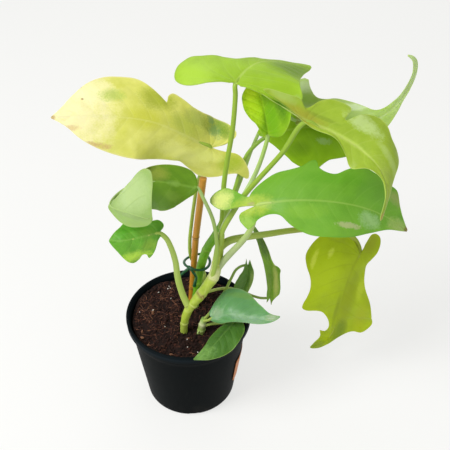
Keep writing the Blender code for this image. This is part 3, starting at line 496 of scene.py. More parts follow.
# %% Leaves of the right side and the middle
LEAVES.update({
    "leaf_front": {
        "stalk_radius": (3.6, 2.1), "half_width": 34, "fold": (-15, 0, 0), "bend": (-20, -10, 0),
        "fold_right": (-5, 0, 0), "bend_right": (-20, -10, 0),
        "stalk": ((27, -15, 169), (33, -16, 180), (41, -20, 195), (50, -25, 212), (56, -30, 228),
                  (59, -34, 244)),
        "rib": ((49, -34, 253), (60, -36, 258), (86, -40, 266), (121, -42, 266), (152, -40, 256),
                (185, -34, 230)),
        "face": ((0, -0.65, 0.76),) * 6,
        "left": ((-12, 2), (-20, 3), (-31, 5), (-39, 11), (-43, 18), (-38, 24), (-28, 25), (-20, 20),
                 (-11, 12), (-6, 8), (-3, 13), (5, 21), (16, 27), (28, 28), (37, 30), (44, 35), (48, 35),
                 (50, 29), (56, 25), (63, 24), (72, 29), (82, 33), (95, 30), (106, 26), (113, 24),
                 (120, 14), (130, 5)),
        "right": ((-10, 2), (-16, 4), (-17, 8), (-15, 13), (-12, 17), (-7, 16), (0, 11), (10, 9), (19, 11),
                  (27, 19), (43, 27), (62, 28), (82, 25), (99, 18), (116, 9), (130, 4)),
    },
    "leaf_hanging": {
        "stalk_radius": (4.0, 1.9), "half_width": 40, "fold": (-10, 0, 0), "bend": (-20, -15, 0),
        "stalk": ((30, -12, 192), (38, -9, 198), (52, -5, 199), (71, -2, 200), (94, 2, 201), (118, 7, 199),
                  (140, 12, 192), (154, 12, 181)),
        "rib": ((160, 7, 177), (158, 5, 171), (152, 3, 153), (148, 2, 128), (144, 0, 97), (141, -2, 73),
                (131, -5, 63), (119, -7, 59)),
        "face": ((0, -0.85, 0.5), (0, -0.85, 0.5), (0, -0.85, 0.5), (0, -0.85, 0.5), (0, -0.85, 0.5),
                 (0, -0.85, 0.5), (-0.1, -0.85, 0.5), (-0.1, -0.85, 0.5)),
        "left": ((-9, 1), (-15, 2), (-20, 3.5), (-22, 7), (-20, 12), (-14, 15), (-6, 15), (3, 12), (9, 11),
                 (19, 13), (30, 15), (39, 18), (47, 22), (57, 27), (69, 31), (80, 34), (87, 35), (91, 32),
                 (94, 26), (94, 18), (97, 11), (102, 6), (112, 4), (121, 3)),
        "right": ((-5, 4), (-9, 8), (-13, 13), (-13, 23), (-9, 32), (-2, 38), (6, 41), (15, 44), (23, 45),
                  (31, 41), (38, 36), (46, 33), (54, 32), (62, 33), (69, 35), (74, 35), (76, 30), (75, 22),
                  (76, 15), (82, 9), (90, 7), (96, 9), (102, 13), (107, 12), (113, 7), (122, 4)),
    },
    "leaf_dark": {
        "stalk_radius": (2.2, 1.7), "half_width": 34, "fold": (-5, -5, 0), "bend": (-25, -25, 0),
        "stalk": ((29, 12, 192), (33, 17, 203), (39, 20, 216), (44, 24, 231), (48, 29, 244), (54, 33, 260),
                  (62, 35, 270)),
        "rib": ((60, 33, 274), (69, 35, 277), (86, 39, 281), (113, 43, 282), (141, 41, 276), (166, 36, 266)),
        "face": ((0, -0.6, 0.8),) * 6,
        "left": ((-3, 2), (-4, 4), (-4, 7), (-2, 9), (5, 10), (14, 13), (33, 23), (50, 27), (71, 22),
                 (89, 11)),
        "right": ((0, 3), (3, 7), (6, 12), (9, 17), (14, 23), (20, 29), (28, 34), (42, 37), (53, 35),
                  (59, 30), (64, 26), (71, 23), (79, 19), (87, 13), (96, 6)),
    },
    "leaf_upright": {
        "stalk_radius": (2.6, 1.7), "half_width": 18, "fold": (30, 30, 20), "bend": (10, 10, 0),
        "stalk": ((31, -10, 202), (36, -6, 218), (45, -2, 231), (52, 1, 243), (60, 0, 263), (66, -3, 286)),
        "rib": ((70, -7, 298), (69, -6, 306), (67, 0, 317), (64, 7, 327), (60, 12, 336), (56, 15, 342)),
        "face": ((-0.1, -0.85, 0.5),) * 6,
        "left": ((0, 4), (4, 7), (10, 10), (15, 14), (23, 17), (31, 16), (39, 12)),
        "right": ((-2, 3), (-2, 8), (0, 14), (4, 20), (9, 25), (15, 27), (22, 24), (30, 17), (38, 10),
                  (42, 5)),
    },
    "leaf_narrow": {
        "stalk_radius": (1.7, 1.3), "half_width": 10, "fold": (20, 20, 20), "bend": (20, 20, 0),
        "stalk": ((13, -19, 144), (20, -10, 138), (27, -2, 133), (39, 8, 125), (51, 12, 117),
                  (64, 10, 112), (71, 8, 112)),
        "rib": ((77, 7, 105), (78, 7, 113), (79, 8, 125), (79, 8, 141), (77, 9, 154), (73, 11, 170),
                (68, 13, 183), (61, 15, 196)),
        "face": ((-0.3, -0.9, 0.2),) * 8,
        "left": ((-7, 2), (0, 3), (5, 4), (12, 4), (21, 5), (34, 6), (47, 6), (59, 6), (70, 5), (80, 4)),
        "right": ((-7, 3), (-1, 4), (5, 7), (12, 11), (19, 12), (28, 12), (36, 13), (42, 15), (43, 10),
                  (43, 6), (47, 3), (58, 2), (72, 2)),
    },
})
print("leaves so far:", len(LEAVES))

# %% [markdown]
# The last four are the small low leaves close to the pot and the pale one that stands behind the crown.

# %% The low leaves and the pale one
LEAVES.update({
    "leaf_small": {
        "stalk_radius": (1.6, 1.2), "half_width": 8, "fold": (25, 25, 20), "bend": (0, 0, 0),
        "stalk": ((15, -19, 110), (19, -17, 114), (26, -12, 121), (35, -5, 134), (41, 1, 145),
                  (45, 4, 152), (50, 6, 155)),
        "rib": ((56, 7, 164), (56, 7, 154), (56, 5, 141), (52, 3, 128), (46, 1, 115)),
        "face": ((0, -0.8, 0.6),) * 5,
        "left": ((-9, 2), (-4, 4), (3, 6), (10, 6), (19, 6), (28, 5), (36, 3)),
        "right": ((-11, 2), (-4, 3), (3, 5), (8, 9), (17, 11), (29, 9), (38, 5)),
    },
    "leaf_bluegreen": {
        "stalk_radius": (1.6, 1.3), "half_width": 28, "fold": (0, 0, 0), "bend": (-30, -30, 0),
        "fold_right": (-20, -20, 0), "bend_right": (-30, -30, 0),
        "stalk": ((14, -19, 108), (17, -23, 113), (20, -26, 117)),
        "rib": ((16, -25, 118), (23, -28, 122), (41, -33, 132), (63, -39, 134), (84, -42, 138)),
        "face": ((0, -0.55, 0.83),) * 5,
        "left": ((-3, 4), (-1, 8), (3, 13), (8, 19), (13, 25), (17, 27), (22, 27), (27, 25), (33, 22),
                 (41, 16), (49, 10), (56, 4)),
        "right": ((-1, 2), (3, 5), (8, 7), (15, 7), (26, 7), (36, 6), (48, 6), (56, 5), (62, 3)),
    },
    "leaf_low": {
        "stalk_radius": (1.5, 1.3), "half_width": 20, "fold": (15, 10, 5), "bend": (-10, -10, 0),
        "stalk": ((13, -20, 101), (20, -21, 106), (32, -24, 111)),
        "rib": ((50, -23, 118), (44, -27, 116), (34, -40, 114), (22, -54, 110), (7, -64, 106)),
        "face": ((0, -0.5, 0.85),) * 5,
        "left": ((-3, 2), (-6, 6), (-4, 10), (1, 13), (10, 15), (17, 16), (24, 16), (31, 14), (37, 11),
                 (44, 7), (50, 3)),
        "right": ((-3, 2), (2, 4), (7, 5), (12, 6), (20, 7), (30, 7), (38, 5), (46, 3)),
    },
    "leaf_pale": {
        "stalk_radius": (1.9, 1.5), "half_width": 26, "fold": (5, 5, 5), "bend": (-20, -15, 0),
        "stalk": ((25, 13, 184), (30, 20, 190), (36, 29, 197), (43, 38, 210), (51, 46, 230), (59, 52, 254),
                  (69, 54, 278), (82, 48, 293)),
        "rib": ((86, 31, 293), (95, 33, 295), (128, 36, 293), (159, 34, 294), (177, 31, 312),
                (184, 30, 330), (186, 29, 343), (184, 28, 353), (178, 28, 357)),
        "face": ((0, -0.6, 0.8), (0, -0.6, 0.8), (0, -0.6, 0.8), (0, -0.7, 0.7), (0.1, -0.8, 0.6),
                 (0.2, -0.9, 0.4), (0.2, -0.9, 0.4), (0.2, -0.9, 0.4), (0.2, -0.9, 0.4)),
        "left": ((0, 7), (2, 17), (5, 29), (7, 39), (10, 43), (14, 41), (14, 35), (15, 29), (17, 23),
                 (20, 20), (26, 19), (34, 20), (46, 18), (62, 12), (72, 7), (80, 5), (93, 4), (106, 3),
                 (120, 2), (132, 2)),
        "right": ((-2, 3), (0, 4), (8, 3), (14, 3), (20, 5), (28, 7), (37, 10), (46, 12), (54, 11),
                  (63, 10), (72, 10), (77, 8), (82, 6), (88, 4), (95, 2), (107, 2), (120, 2), (132, 2)),
    },
})
print("leaves:", len(LEAVES))

# %% [markdown]
# A blade is a surface ruled across its midrib, so two numbers name every place on it: how far along the
# midrib it lies, and how far out from it. The fold lifts or lowers the whole half there, and the bend
# curls it on the way out.

# %% A place on the blade
RIB_STEPS = 30
STATIONS = (0.0, 0.5, 1.0)
LEAST_CURL = 1e-6


def spine_of(leaf):
    """The midrib as a dense curve: its places, ways along, ways up, and distance from the junction."""
    places, numbers = smooth_curve(leaf["rib"], RIB_STEPS)
    length = run_length(places)
    along = length - np.interp(1.0, numbers, length)
    ways = unit(np.gradient(places, axis=0))
    looks, _ = smooth_curve(unit(leaf["face"]), RIB_STEPS)
    ups = unit(looks - ways * np.sum(looks * ways, axis=1, keepdims=True))
    return places, ways, ups, along


def by_half(leaf, key, share, is_right):
    """The fold or the bend at a share of the midrib. The right half may have values of its own."""
    left, right = leaf[key], leaf.get(key + "_right", leaf[key])
    return np.radians(np.where(is_right, np.interp(share, STATIONS, right), np.interp(share, STATIONS, left)))


def blade_point(leaf, spine, a, b):
    """A place on the leaf's middle surface, a along the midrib and b out from it, right side positive."""
    places, ways, ups, along = spine
    reach = along[-1]
    way = unit(read_curve(a, along, ways))
    centre = read_curve(a, along, places) + way * np.minimum(a - along[0], 0)[..., None]
    up = read_curve(a, along, ups)
    up = unit(up - way * np.sum(up * way, axis=-1, keepdims=True))
    right = np.cross(way, up)
    fold = by_half(leaf, "fold", a / reach, b > 0)
    curl = by_half(leaf, "bend", a / reach, b > 0) / leaf["half_width"]
    curl = np.where(np.abs(curl) < LEAST_CURL, LEAST_CURL, curl)
    q = np.abs(b)
    out = (np.sin(fold + curl * q) - np.sin(fold)) / curl
    rise = (np.cos(fold) - np.cos(fold + curl * q)) / curl
    return centre + right * (np.sign(b) * out)[..., None] + up * rise[..., None]


sample = spine_of(LEAVES["leaf_front"])
print("front leaf: midrib", round(float(sample[3][-1])), "mm")

# %% [markdown]
# The rows of a blade run the way its side veins do. The first ones fan back into the two lobes, and each
# later one leaves the midrib at its own station and meets the edge further on. With the rows laid like
# that, a vein follows a row, so one number for each point is enough to tell how near the next vein is.

# %% Rows along the veins
VEIN_SLANT = 0.5
NECK = 2.0
ROWS = 116
COLUMNS = 37
MIDDLE = COLUMNS // 2
TIP_OUT = 0.6
EVENNESS = 0.15
LOBE_CROWDING = 0.85
FEWEST_LOBE_ROWS = 6
LOOK_STEP = 0.2


def blade_rows(leaf, veins):
    """Rows of the blade: (along, out) of every point, its share of the way out, and its vein number."""
    spine = spine_of(leaf)
    reach = spine[3][-1]
    edges = []
    for side in ("left", "right"):
        places, _ = smooth_curve(np.vstack([leaf[side], (reach, TIP_OUT)]))
        places[:, 1] = np.maximum(places[:, 1], TIP_OUT)
        length = run_length(places)
        station = places[:, 0] - VEIN_SLANT * places[:, 1]
        behind = np.nonzero(station <= 0)[0]
        edges.append((places, length, station, behind[-1] if len(behind) else 0))
    lobe_share = sum(length[turn] / length[-1] for _, length, _, turn in edges) / 2
    lobe_rows = max(FEWEST_LOBE_ROWS, int(round(ROWS * lobe_share * LOBE_CROWDING)))
    start = np.concatenate([np.linspace(0, NECK, lobe_rows, endpoint=False),
                            np.linspace(NECK, reach, ROWS - lobe_rows)])
    ends = []
    for places, length, station, turn in edges:
        rise = np.maximum.accumulate(np.maximum(station[turn:], 0))
        even = reach * (length[turn:] - length[turn]) / (length[-1] - length[turn])
        rise = (1 - EVENNESS) * rise * reach / rise[-1] + EVENNESS * even
        aim = (start[lobe_rows:] - NECK) / (reach - NECK) * reach
        at = np.concatenate([np.linspace(0, length[turn], lobe_rows, endpoint=False),
                             np.interp(aim, rise, length[turn:])])
        ends.append(read_curve(at, length, places))
    share = np.linspace(-1, 1, COLUMNS)
    size = np.abs(share) ** 1.1
    edge = np.where((share < 0)[None, :, None], ends[0][:, None, :], ends[1][:, None, :])
    along = start[:, None] + (edge[..., 0] - start[:, None]) * size
    out = np.sign(share) * edge[..., 1] * size
    out[:, MIDDLE] = 0
    lobe_veins = max(1.0, veins * lobe_share)
    number = np.concatenate([-lobe_veins * np.linspace(1, 0, lobe_rows, endpoint=False),
                             veins * (start[lobe_rows:] - NECK) / (reach - NECK)])
    sides = np.where(share > 0, 0.35, 0.0)
    number = number[:, None] + sides - 0.9 * np.abs(share) ** 2
    return spine, along, out, np.broadcast_to(np.abs(share), along.shape), number


def way_up(leaf, spine, along, out):
    """The direction that the upper face looks in, at every point."""
    step = LOOK_STEP
    side = np.where(out > 0, 1.0, -1.0)
    middle = blade_point(leaf, spine, along, out)
    ahead = blade_point(leaf, spine, along + step, out)
    beside = blade_point(leaf, spine, along, out + step * side)
    normal = unit(np.cross(ahead - middle, (beside - middle) * -side[..., None]))
    over = blade_point(leaf, spine, along[:, MIDDLE], out[:, MIDDLE] + step)
    other = unit(np.cross(ahead[:, MIDDLE] - middle[:, MIDDLE], middle[:, MIDDLE] - over))
    normal[:, MIDDLE] = unit(normal[:, MIDDLE] + other)
    return middle, normal


sample = blade_rows(LEAVES["leaf_front"], 9)
print("front leaf: rows and columns", sample[1].shape)

# %% [markdown]
# A real blade isn't smooth. It sinks along the veins, puffs up between them, and waves towards its edge.
# All of that is a small height added along the face, worked out from the vein number and from how far
# out a point lies. The numbers for each leaf are picked with its colours further on.

# %% Relief
VEIN_DEPTH = 0.12
VEIN_SPREAD = 0.8
RIB_DEPTH = 0.4
RIB_SPREAD = 1.4
FINE_LUMP = 9.0
BROAD_LUMP = 24.0


def lumps(along, out, size, seed):
    """Smooth bumps from -1 to 1 over the leaf, about one per size in millimetres."""
    flat = np.column_stack([along.ravel() / size, out.ravel() / size])
    return np.array([noise.noise(Vector((x, y, seed))) for x, y in flat]).reshape(along.shape)


def relief(look, reach, along, out, share, number, seed):
    """How far the upper face stands out from the ruled surface, in millimetres."""
    spacing = reach / look["veins"]
    off_vein = np.abs(number - np.round(number))
    open_ground = np.sin(np.pi * np.clip(share * 0.92 + 0.04, 0, 1)) ** 0.8
    puff = look["pucker"] * (1 - (1 - 2 * off_vein) ** 2) * open_ground
    groove = -VEIN_DEPTH * np.exp(-(off_vein * spacing / VEIN_SPREAD) ** 2) * (1 - share)
    rib = -RIB_DEPTH * np.exp(-(out / RIB_SPREAD) ** 2) * np.clip(1 - along / reach, 0, 1)
    wave = look["wave"] * share ** 2 * np.sin(number * 2.4 + seed) * np.clip(1.2 - along / reach, 0, 1)
    rough = look["crumple"] * lumps(along, out, FINE_LUMP, seed) * open_ground
    broad = look["broad"] * lumps(along, out, BROAD_LUMP, seed + 5.0) * share
    return puff + groove + rib + wave + rough + broad


print("a vein sinks by up to", VEIN_DEPTH, "mm, the midrib by up to", RIB_DEPTH, "mm")

# %% [markdown]
# The blade itself is a thin closed sheet: an upper grid of points, a lower one and the rim between them.
# It thins out towards the edge. The stalk is a tube that runs on below the blade as the midrib, and its
# radius shrinks towards the tip.

# %% Thickness, and the midrib below
THICK_MIDDLE = 0.75
THICK_EDGE = 0.35
RIB_SHARES = (0.0, 0.1, 0.25, 0.45, 0.65, 0.85, 0.97)


def grid_skin(top, under):
    """Faces of a thin closed sheet from two equal grids of points."""
    rows, columns = top.shape[:2]
    shift = rows * columns
    faces = []
    for j in range(rows - 1):
        for c in range(columns - 1):
            a = j * columns + c
            faces.append((a, a + 1, a + 1 + columns, a + columns))
            faces.append((a + columns + shift, a + 1 + columns + shift, a + 1 + shift, a + shift))
        a, b = j * columns, (j + 1) * columns - 1
        faces.append((a + shift, a, a + columns, a + columns + shift))
        faces.append((b, b + shift, b + columns + shift, b + columns))
    for c in range(columns - 1):
        a, b = c, shift - columns + c
        faces.append((a, a + shift, a + 1 + shift, a + 1))
        faces.append((b + 1, b + 1 + shift, b + shift, b))
    return np.vstack([top.reshape(-1, 3), under.reshape(-1, 3)]), faces


def grow_leaf(leaf, look, seed):
    """The blade's skin and the stalk that runs on below it as the midrib."""
    spine, along, out, share, number = blade_rows(leaf, look["veins"])
    reach = spine[3][-1]
    middle, normal = way_up(leaf, spine, along, out)
    middle = middle + normal * relief(look, reach, along, out, share, number, seed)[..., None]
    half_thick = (THICK_EDGE + (THICK_MIDDLE - THICK_EDGE) * (1 - share))[..., None] / 2
    points, faces = grid_skin(middle + normal * half_thick, middle - normal * half_thick)
    where = np.stack([along, out, share], -1).reshape(-1, 3)
    top_facts = np.column_stack([number.ravel(), np.zeros(number.size), np.full(number.size, reach)])
    under_facts = top_facts + (0, 1, 0)
    blade = (points, faces, np.vstack([where, where]))
    rank = [np.vstack([top_facts, under_facts])]
    first, last = leaf["stalk_radius"]
    stalk = [np.array(point, float) for point in leaf["stalk"]]
    radii = [first + (last - first) * (k / len(stalk)) ** 0.7 for k in range(len(stalk) + 1)]
    for part in RIB_SHARES:
        row = np.searchsorted(along[:, MIDDLE], max(part * reach, 0.1))
        radius = last * (1 - part) ** 0.8 * 0.72 + 0.3
        stalk.append(middle[row, MIDDLE] - normal[row, MIDDLE] * (radius * 0.75 + 0.1))
        if part:
            radii.append(radius)
    skin = tube(stalk, radii, 14, 2.0, flat=0.9)
    rank.append(np.column_stack([skin[2][:, 0], np.full(len(skin[0]), 2.0), np.full(len(skin[0]), reach)]))
    points, faces, facts, counts = fuse([blade, skin])
    return points, faces, counts, {"place": facts, "rank": np.vstack(rank)}


print("blade thickness:", THICK_MIDDLE, "to", THICK_EDGE, "mm")

# %% [markdown]
# The colour of a leaf is built in layers, as a painter would: a cloudy ground between a deep and a light
# green, soft patches where the leaf turns gold, cream or brown, and others that are painted highlights or
# painted shade, a fine net of cells, paler veins, a thin edge, and a duller, paler underside. Patches
# have ragged rims because the same cloud shifts them.

# %% How a leaf is painted
NET_SCALE = 5.0 / 0.55
SMALL_VEIN_WIDTH = 0.5
VEIN_WIDTH = 1.1
RIB_WIDTH = 1.5


def leaf_paint(name, look, seed):
    """The blade's finish. It reads (along, out, share) and (vein number, underside, midrib length)."""
    paint = Paint(name)
    along, out, share = paint.fact("place")
    number, under, reach = paint.fact("rank")
    spot = paint.join(along * 0.1 + seed, out * 0.1, seed)
    cloud = paint.cloud(spot, 0.9, 4.0, 0.6)
    fine = paint.cloud(spot, 7.0, 3.0)
    streak = paint.cloud(paint.join(number * 1.6 + seed, share * 2.0, seed), 1.0, 3.0)
    shade = ((cloud * 0.8 + streak * 0.3) * 1.8 - 0.5 + (fine - 0.5) * 0.15).clamp()
    colour = paint.mix(tint(look["deep"]), tint(look["light"]), shade)
    for a, b, long, wide, patch, strength, ragged in look["patches"]:
        far = ((along - a) / long) ** 2.0 + (abs(out - b) / wide) ** 2.0
        shift = (cloud - 0.5) * (4.0 * ragged) + (fine - 0.5) * (3.0 * ragged)
        inside = ((1.0 - far + shift) * 1.1).clamp()
        colour = paint.mix(colour, tint(patch), inside * strength)
    net = (1.0 - paint.cells(spot, NET_SCALE) * 9.0).clamp()
    colour = paint.mix(colour, tint(look["vein"]), net * 0.04)
    spacing = look["spacing"]
    off_vein = number.to_nearest_whole() * spacing
    small_vein = (number * 4.0).to_nearest_whole() * (spacing / 4.0)
    thin = (1.0 - small_vein / SMALL_VEIN_WIDTH).clamp() * (1.0 - share)
    colour = paint.mix(colour, tint(look["vein"]), thin * 0.06)
    vein = (1.0 - off_vein / VEIN_WIDTH).clamp() * (1.0 - share * share)
    colour = paint.mix(colour, tint(look["vein"]), vein * look["vein_strength"])
    rib_width = RIB_WIDTH - along / reach
    rib = (1.0 - abs(out) / rib_width.larger(0.4)).clamp() * (1.0 - under).clamp()
    colour = paint.mix(colour, tint(look["vein"]), (rib * 1.6).clamp() * look["rib_strength"])
    edge = ((share - 0.955) * 22.0).clamp()
    colour = paint.mix(colour, tint(look["edge"]), edge * 0.7)
    below = paint.mix(tint(look["under"]), colour, 0.3)
    below = paint.mix(below, tint(look["vein_under"]), vein * 0.5)
    colour = paint.mix(colour, below, under)
    rough = look["rough"] + (fine - 0.5) * 0.14 + under * 0.16
    height = fine * 0.35 + net * 0.5 - thin * 0.3
    return paint.finish(colour, rough, height, 0.0001, Specular_IOR_Level=0.22, Coat_Weight=look["coat"],
                        Coat_Roughness=0.25, Subsurface_Weight=0.35, Subsurface_Scale=0.0015,
                        Subsurface_Radius=(1.0, 1.0, 0.3))


def stalk_paint(name, colours, seed):
    """Pale at the foot, streaked lengthwise, with a few darker flecks."""
    foot, middle, head = colours
    paint = Paint(name)
    length, turn, _ = paint.fact("place")
    streak = paint.cloud(paint.join(length * 0.02 + seed, turn * 1.6, seed), 2.2, 4.0)
    fleck = paint.cloud(paint.join(length * 0.25, turn * 2.0, seed), 2.0, 2.0)
    colour = paint.ramp((length / 90.0 + (streak - 0.5) * 0.3).clamp(),
                        [(0.0, tint(foot)), (0.4, tint(middle)), (1.0, tint(head))])
    colour = paint.mix(colour, tint(foot), ((streak - 0.5) * 2.5).clamp() * 0.5)
    colour = paint.mix(colour, tint("6f7f2a"), ((fleck - 0.68) * 6.0).clamp() * 0.4)
    return paint.finish(colour, 0.42 + streak * 0.15, streak, 0.00015, Coat_Weight=0.05)


print("a leaf has two finishes: its blade and its stalk")

# %% [markdown]
# Here is the palette. A golden cultivar shows every stage on one plant: old leaves are mid green, young
# ones lime or gold, and one big leaf has nearly lost its green and turned cream. A patch is (along, out,
# half length, half width, colour, strength, raggedness), in the leaf's own millimetres. Some patches are
# painted highlights or painted shade rather than the leaf's own colour, and a comment above each leaf's
# patches names them. Values that most leaves share are written once, and each leaf names only what
# differs.

# %% Looks of the left side and the crown
PLAIN_LOOK = {"veins": 8.0, "pucker": 0.3, "wave": 0.5, "crumple": 0.25, "broad": 1.2, "vein_strength": 0.12,
              "rib_strength": 0.4, "rough": 0.38, "coat": 0.02, "under": "b2c882", "vein_under": "c6d8a0",
              "patches": (), "stalk": ("bcc95e", "96b838", "88ae30")}
LOOKS = {
    "leaf_cream": {
        "deep": "c6c852", "light": "dfde80", "vein": "e6e79a", "edge": "e6dea0", "under": "dcdc9c",
        "veins": 9.0, "crumple": 0.4, "wave": 0.6, "rib_strength": 0.2,
        "stalk": ("a9bc54", "90b034", "9cb83c"),
        "patches": ((122, 4, 40, 44, "eee6b2", 0.95, 0.25), (104, 22, 20, 12, "f4eeb6", 0.8, 0.3),
                    (64, 2, 20, 12, "c4c640", 0.8, 0.3), (57, 22, 17, 13, "a2ac2c", 0.85, 0.35),
                    (28, 8, 22, 12, "b2bc4c", 0.8, 0.35), (24, -15, 30, 9, "e6e68c", 0.9, 0.3),
                    (22, 19, 14, 8, "a4b056", 0.7, 0.4), (3, 20, 16, 11, "98a438", 0.85, 0.35),
                    (-10, 24, 14, 12, "84a240", 0.8, 0.4), (-16, -12, 12, 10, "a8bc30", 0.85, 0.3),
                    (-2, 15, 9, 8, "6c9a66", 0.55, 0.7), (5, 25, 7, 5, "6c9a66", 0.5, 0.7),
                    (91, 20, 12, 7, "aec056", 0.85, 0.5), (2, -8, 14, 7, "e4e688", 0.85, 0.3),
                    (-13, 15, 8, 8, "7c9c2e", 0.85, 0.3), (108, -25, 17, 3.5, "b88d60", 0.75, 0.6),
                    (127, -10, 12, 3, "c9a878", 0.6, 0.5), (115, 26, 1.9, 1.4, "8a6238", 0.9, 0.2),
                    (114, 15, 1.4, 1.1, "93693e", 0.9, 0.2), (139, 0, 3.5, 3, "a07848", 0.8, 0.2)),
    },
    "leaf_rolled": {
        "deep": "507a0c", "light": "689018", "vein": "88b044", "edge": "8f9c46", "under": "9cb670",
        "vein_under": "8aa660", "rib_strength": 0.3, "rough": 0.55, "veins": 7.0,
        "stalk": ("a0ba44", "98b644", "9cb86a"),
        # Painted light among these patches: 8cae50 at (20, 0) and e8f4c4 at (110, 16) are painted highlights,
        # and the thin dark 2c4a10 at (112, -2) is painted shade in the crease of the roll.
        "patches": ((36, 8, 16, 9, "8a9636", 0.85, 0.35), (20, 0, 7, 3.5, "8cae50", 0.5, 0.4),
                    (22, -12, 12, 6, "7a9c30", 0.6, 0.35), (44, -18, 18, 18, "527a10", 0.8, 0.3),
                    (62, -8, 10, 10, "9ab868", 0.6, 0.4), (112, -2, 20, 1.8, "2c4a10", 1.0, 0.1),
                    (42, 15, 10, 7, "3c5408", 0.9, 0.3), (110, 16, 24, 20, "e8f4c4", 0.6, 0.2)),
    },
    "leaf_crumpled": {
        "deep": "54982a", "light": "70a834", "vein": "90bf52", "edge": "9abd48", "veins": 6.0,
        "pucker": 0.15, "wave": 0.8, "crumple": 1.4, "vein_strength": 0.12,
        "stalk": ("b8cc60", "acc658", "a6c250"),
        "patches": ((20, -15, 14, 6, "96bc44", 0.85, 0.35), (9, -9, 9, 7, "90b03e", 0.7, 0.4),
                    (11, 2, 8, 6, "74a434", 0.6, 0.4), (32, 6, 8, 6, "56a02e", 0.6, 0.4),
                    (20, 12, 18, 7, "489018", 0.7, 0.4), (20, -16, 16, 5, "b2d84c", 0.8, 0.4)),
    },
    "leaf_top": {
        "deep": "8cb022", "light": "a0c62c", "vein": "c0d670", "edge": "8fae3a", "under": "a8c064",
        "broad": 1.6, "stalk": ("9aba34", "90b41c", "8eae2c"),
        # The dark 6e9218 patch at (67, 15) is painted shade in the trough between the ridge and the tip.
        "patches": ((67, 15, 34, 20, "6e9218", 0.9, 0.15), (26, 34, 26, 14, "94b820", 0.7, 0.3),
                    (-4, -32, 18, 18, "a8cc40", 0.7, 0.3), (16, 46, 14, 5, "aec674", 0.7, 0.3)),
    },
    "leaf_arched": {
        "deep": "8ca828", "light": "a2ba3c", "vein": "bccc6c", "edge": "b4c860", "under": "b0c472",
        "broad": 2.2, "wave": 0.9, "stalk": ("aac450", "92b034", "8aaa2c"),
        # Painted light among these patches: c4d898 at (37, -19) and c0d488 at (70, -13) are painted
        # highlights, 507c14 at (-25, 0) is painted shadow where the strip lies over darker leaves, and 7c9424
        # at (10, -7) is painted shade along a crease.
        "patches": ((-6, -2, 24, 7, "9a9c2a", 0.9, 0.3), (-26, -8, 15, 6, "a4bc5c", 0.8, 0.2),
                    (-25, 0, 15, 2.6, "507c14", 0.9, 0.1), (37, -19, 15, 9, "c4d898", 0.6, 0.5),
                    (10, -7, 16, 2.2, "7c9424", 0.6, 0.3), (30, 0, 34, 2.4, "b6cc58", 0.8, 0.2),
                    (62, 12, 26, 5, "8ea62c", 0.8, 0.3), (70, -13, 22, 4, "c0d488", 0.4, 0.4),
                    (24, 12, 18, 4, "a6b83e", 0.6, 0.3), (80, -4, 24, 6, "9fb250", 0.6, 0.3),
                    (106, 0, 5, 3, "a88a4c", 0.8, 0.2)),
    },
}
print("looks so far:", len(LOOKS))
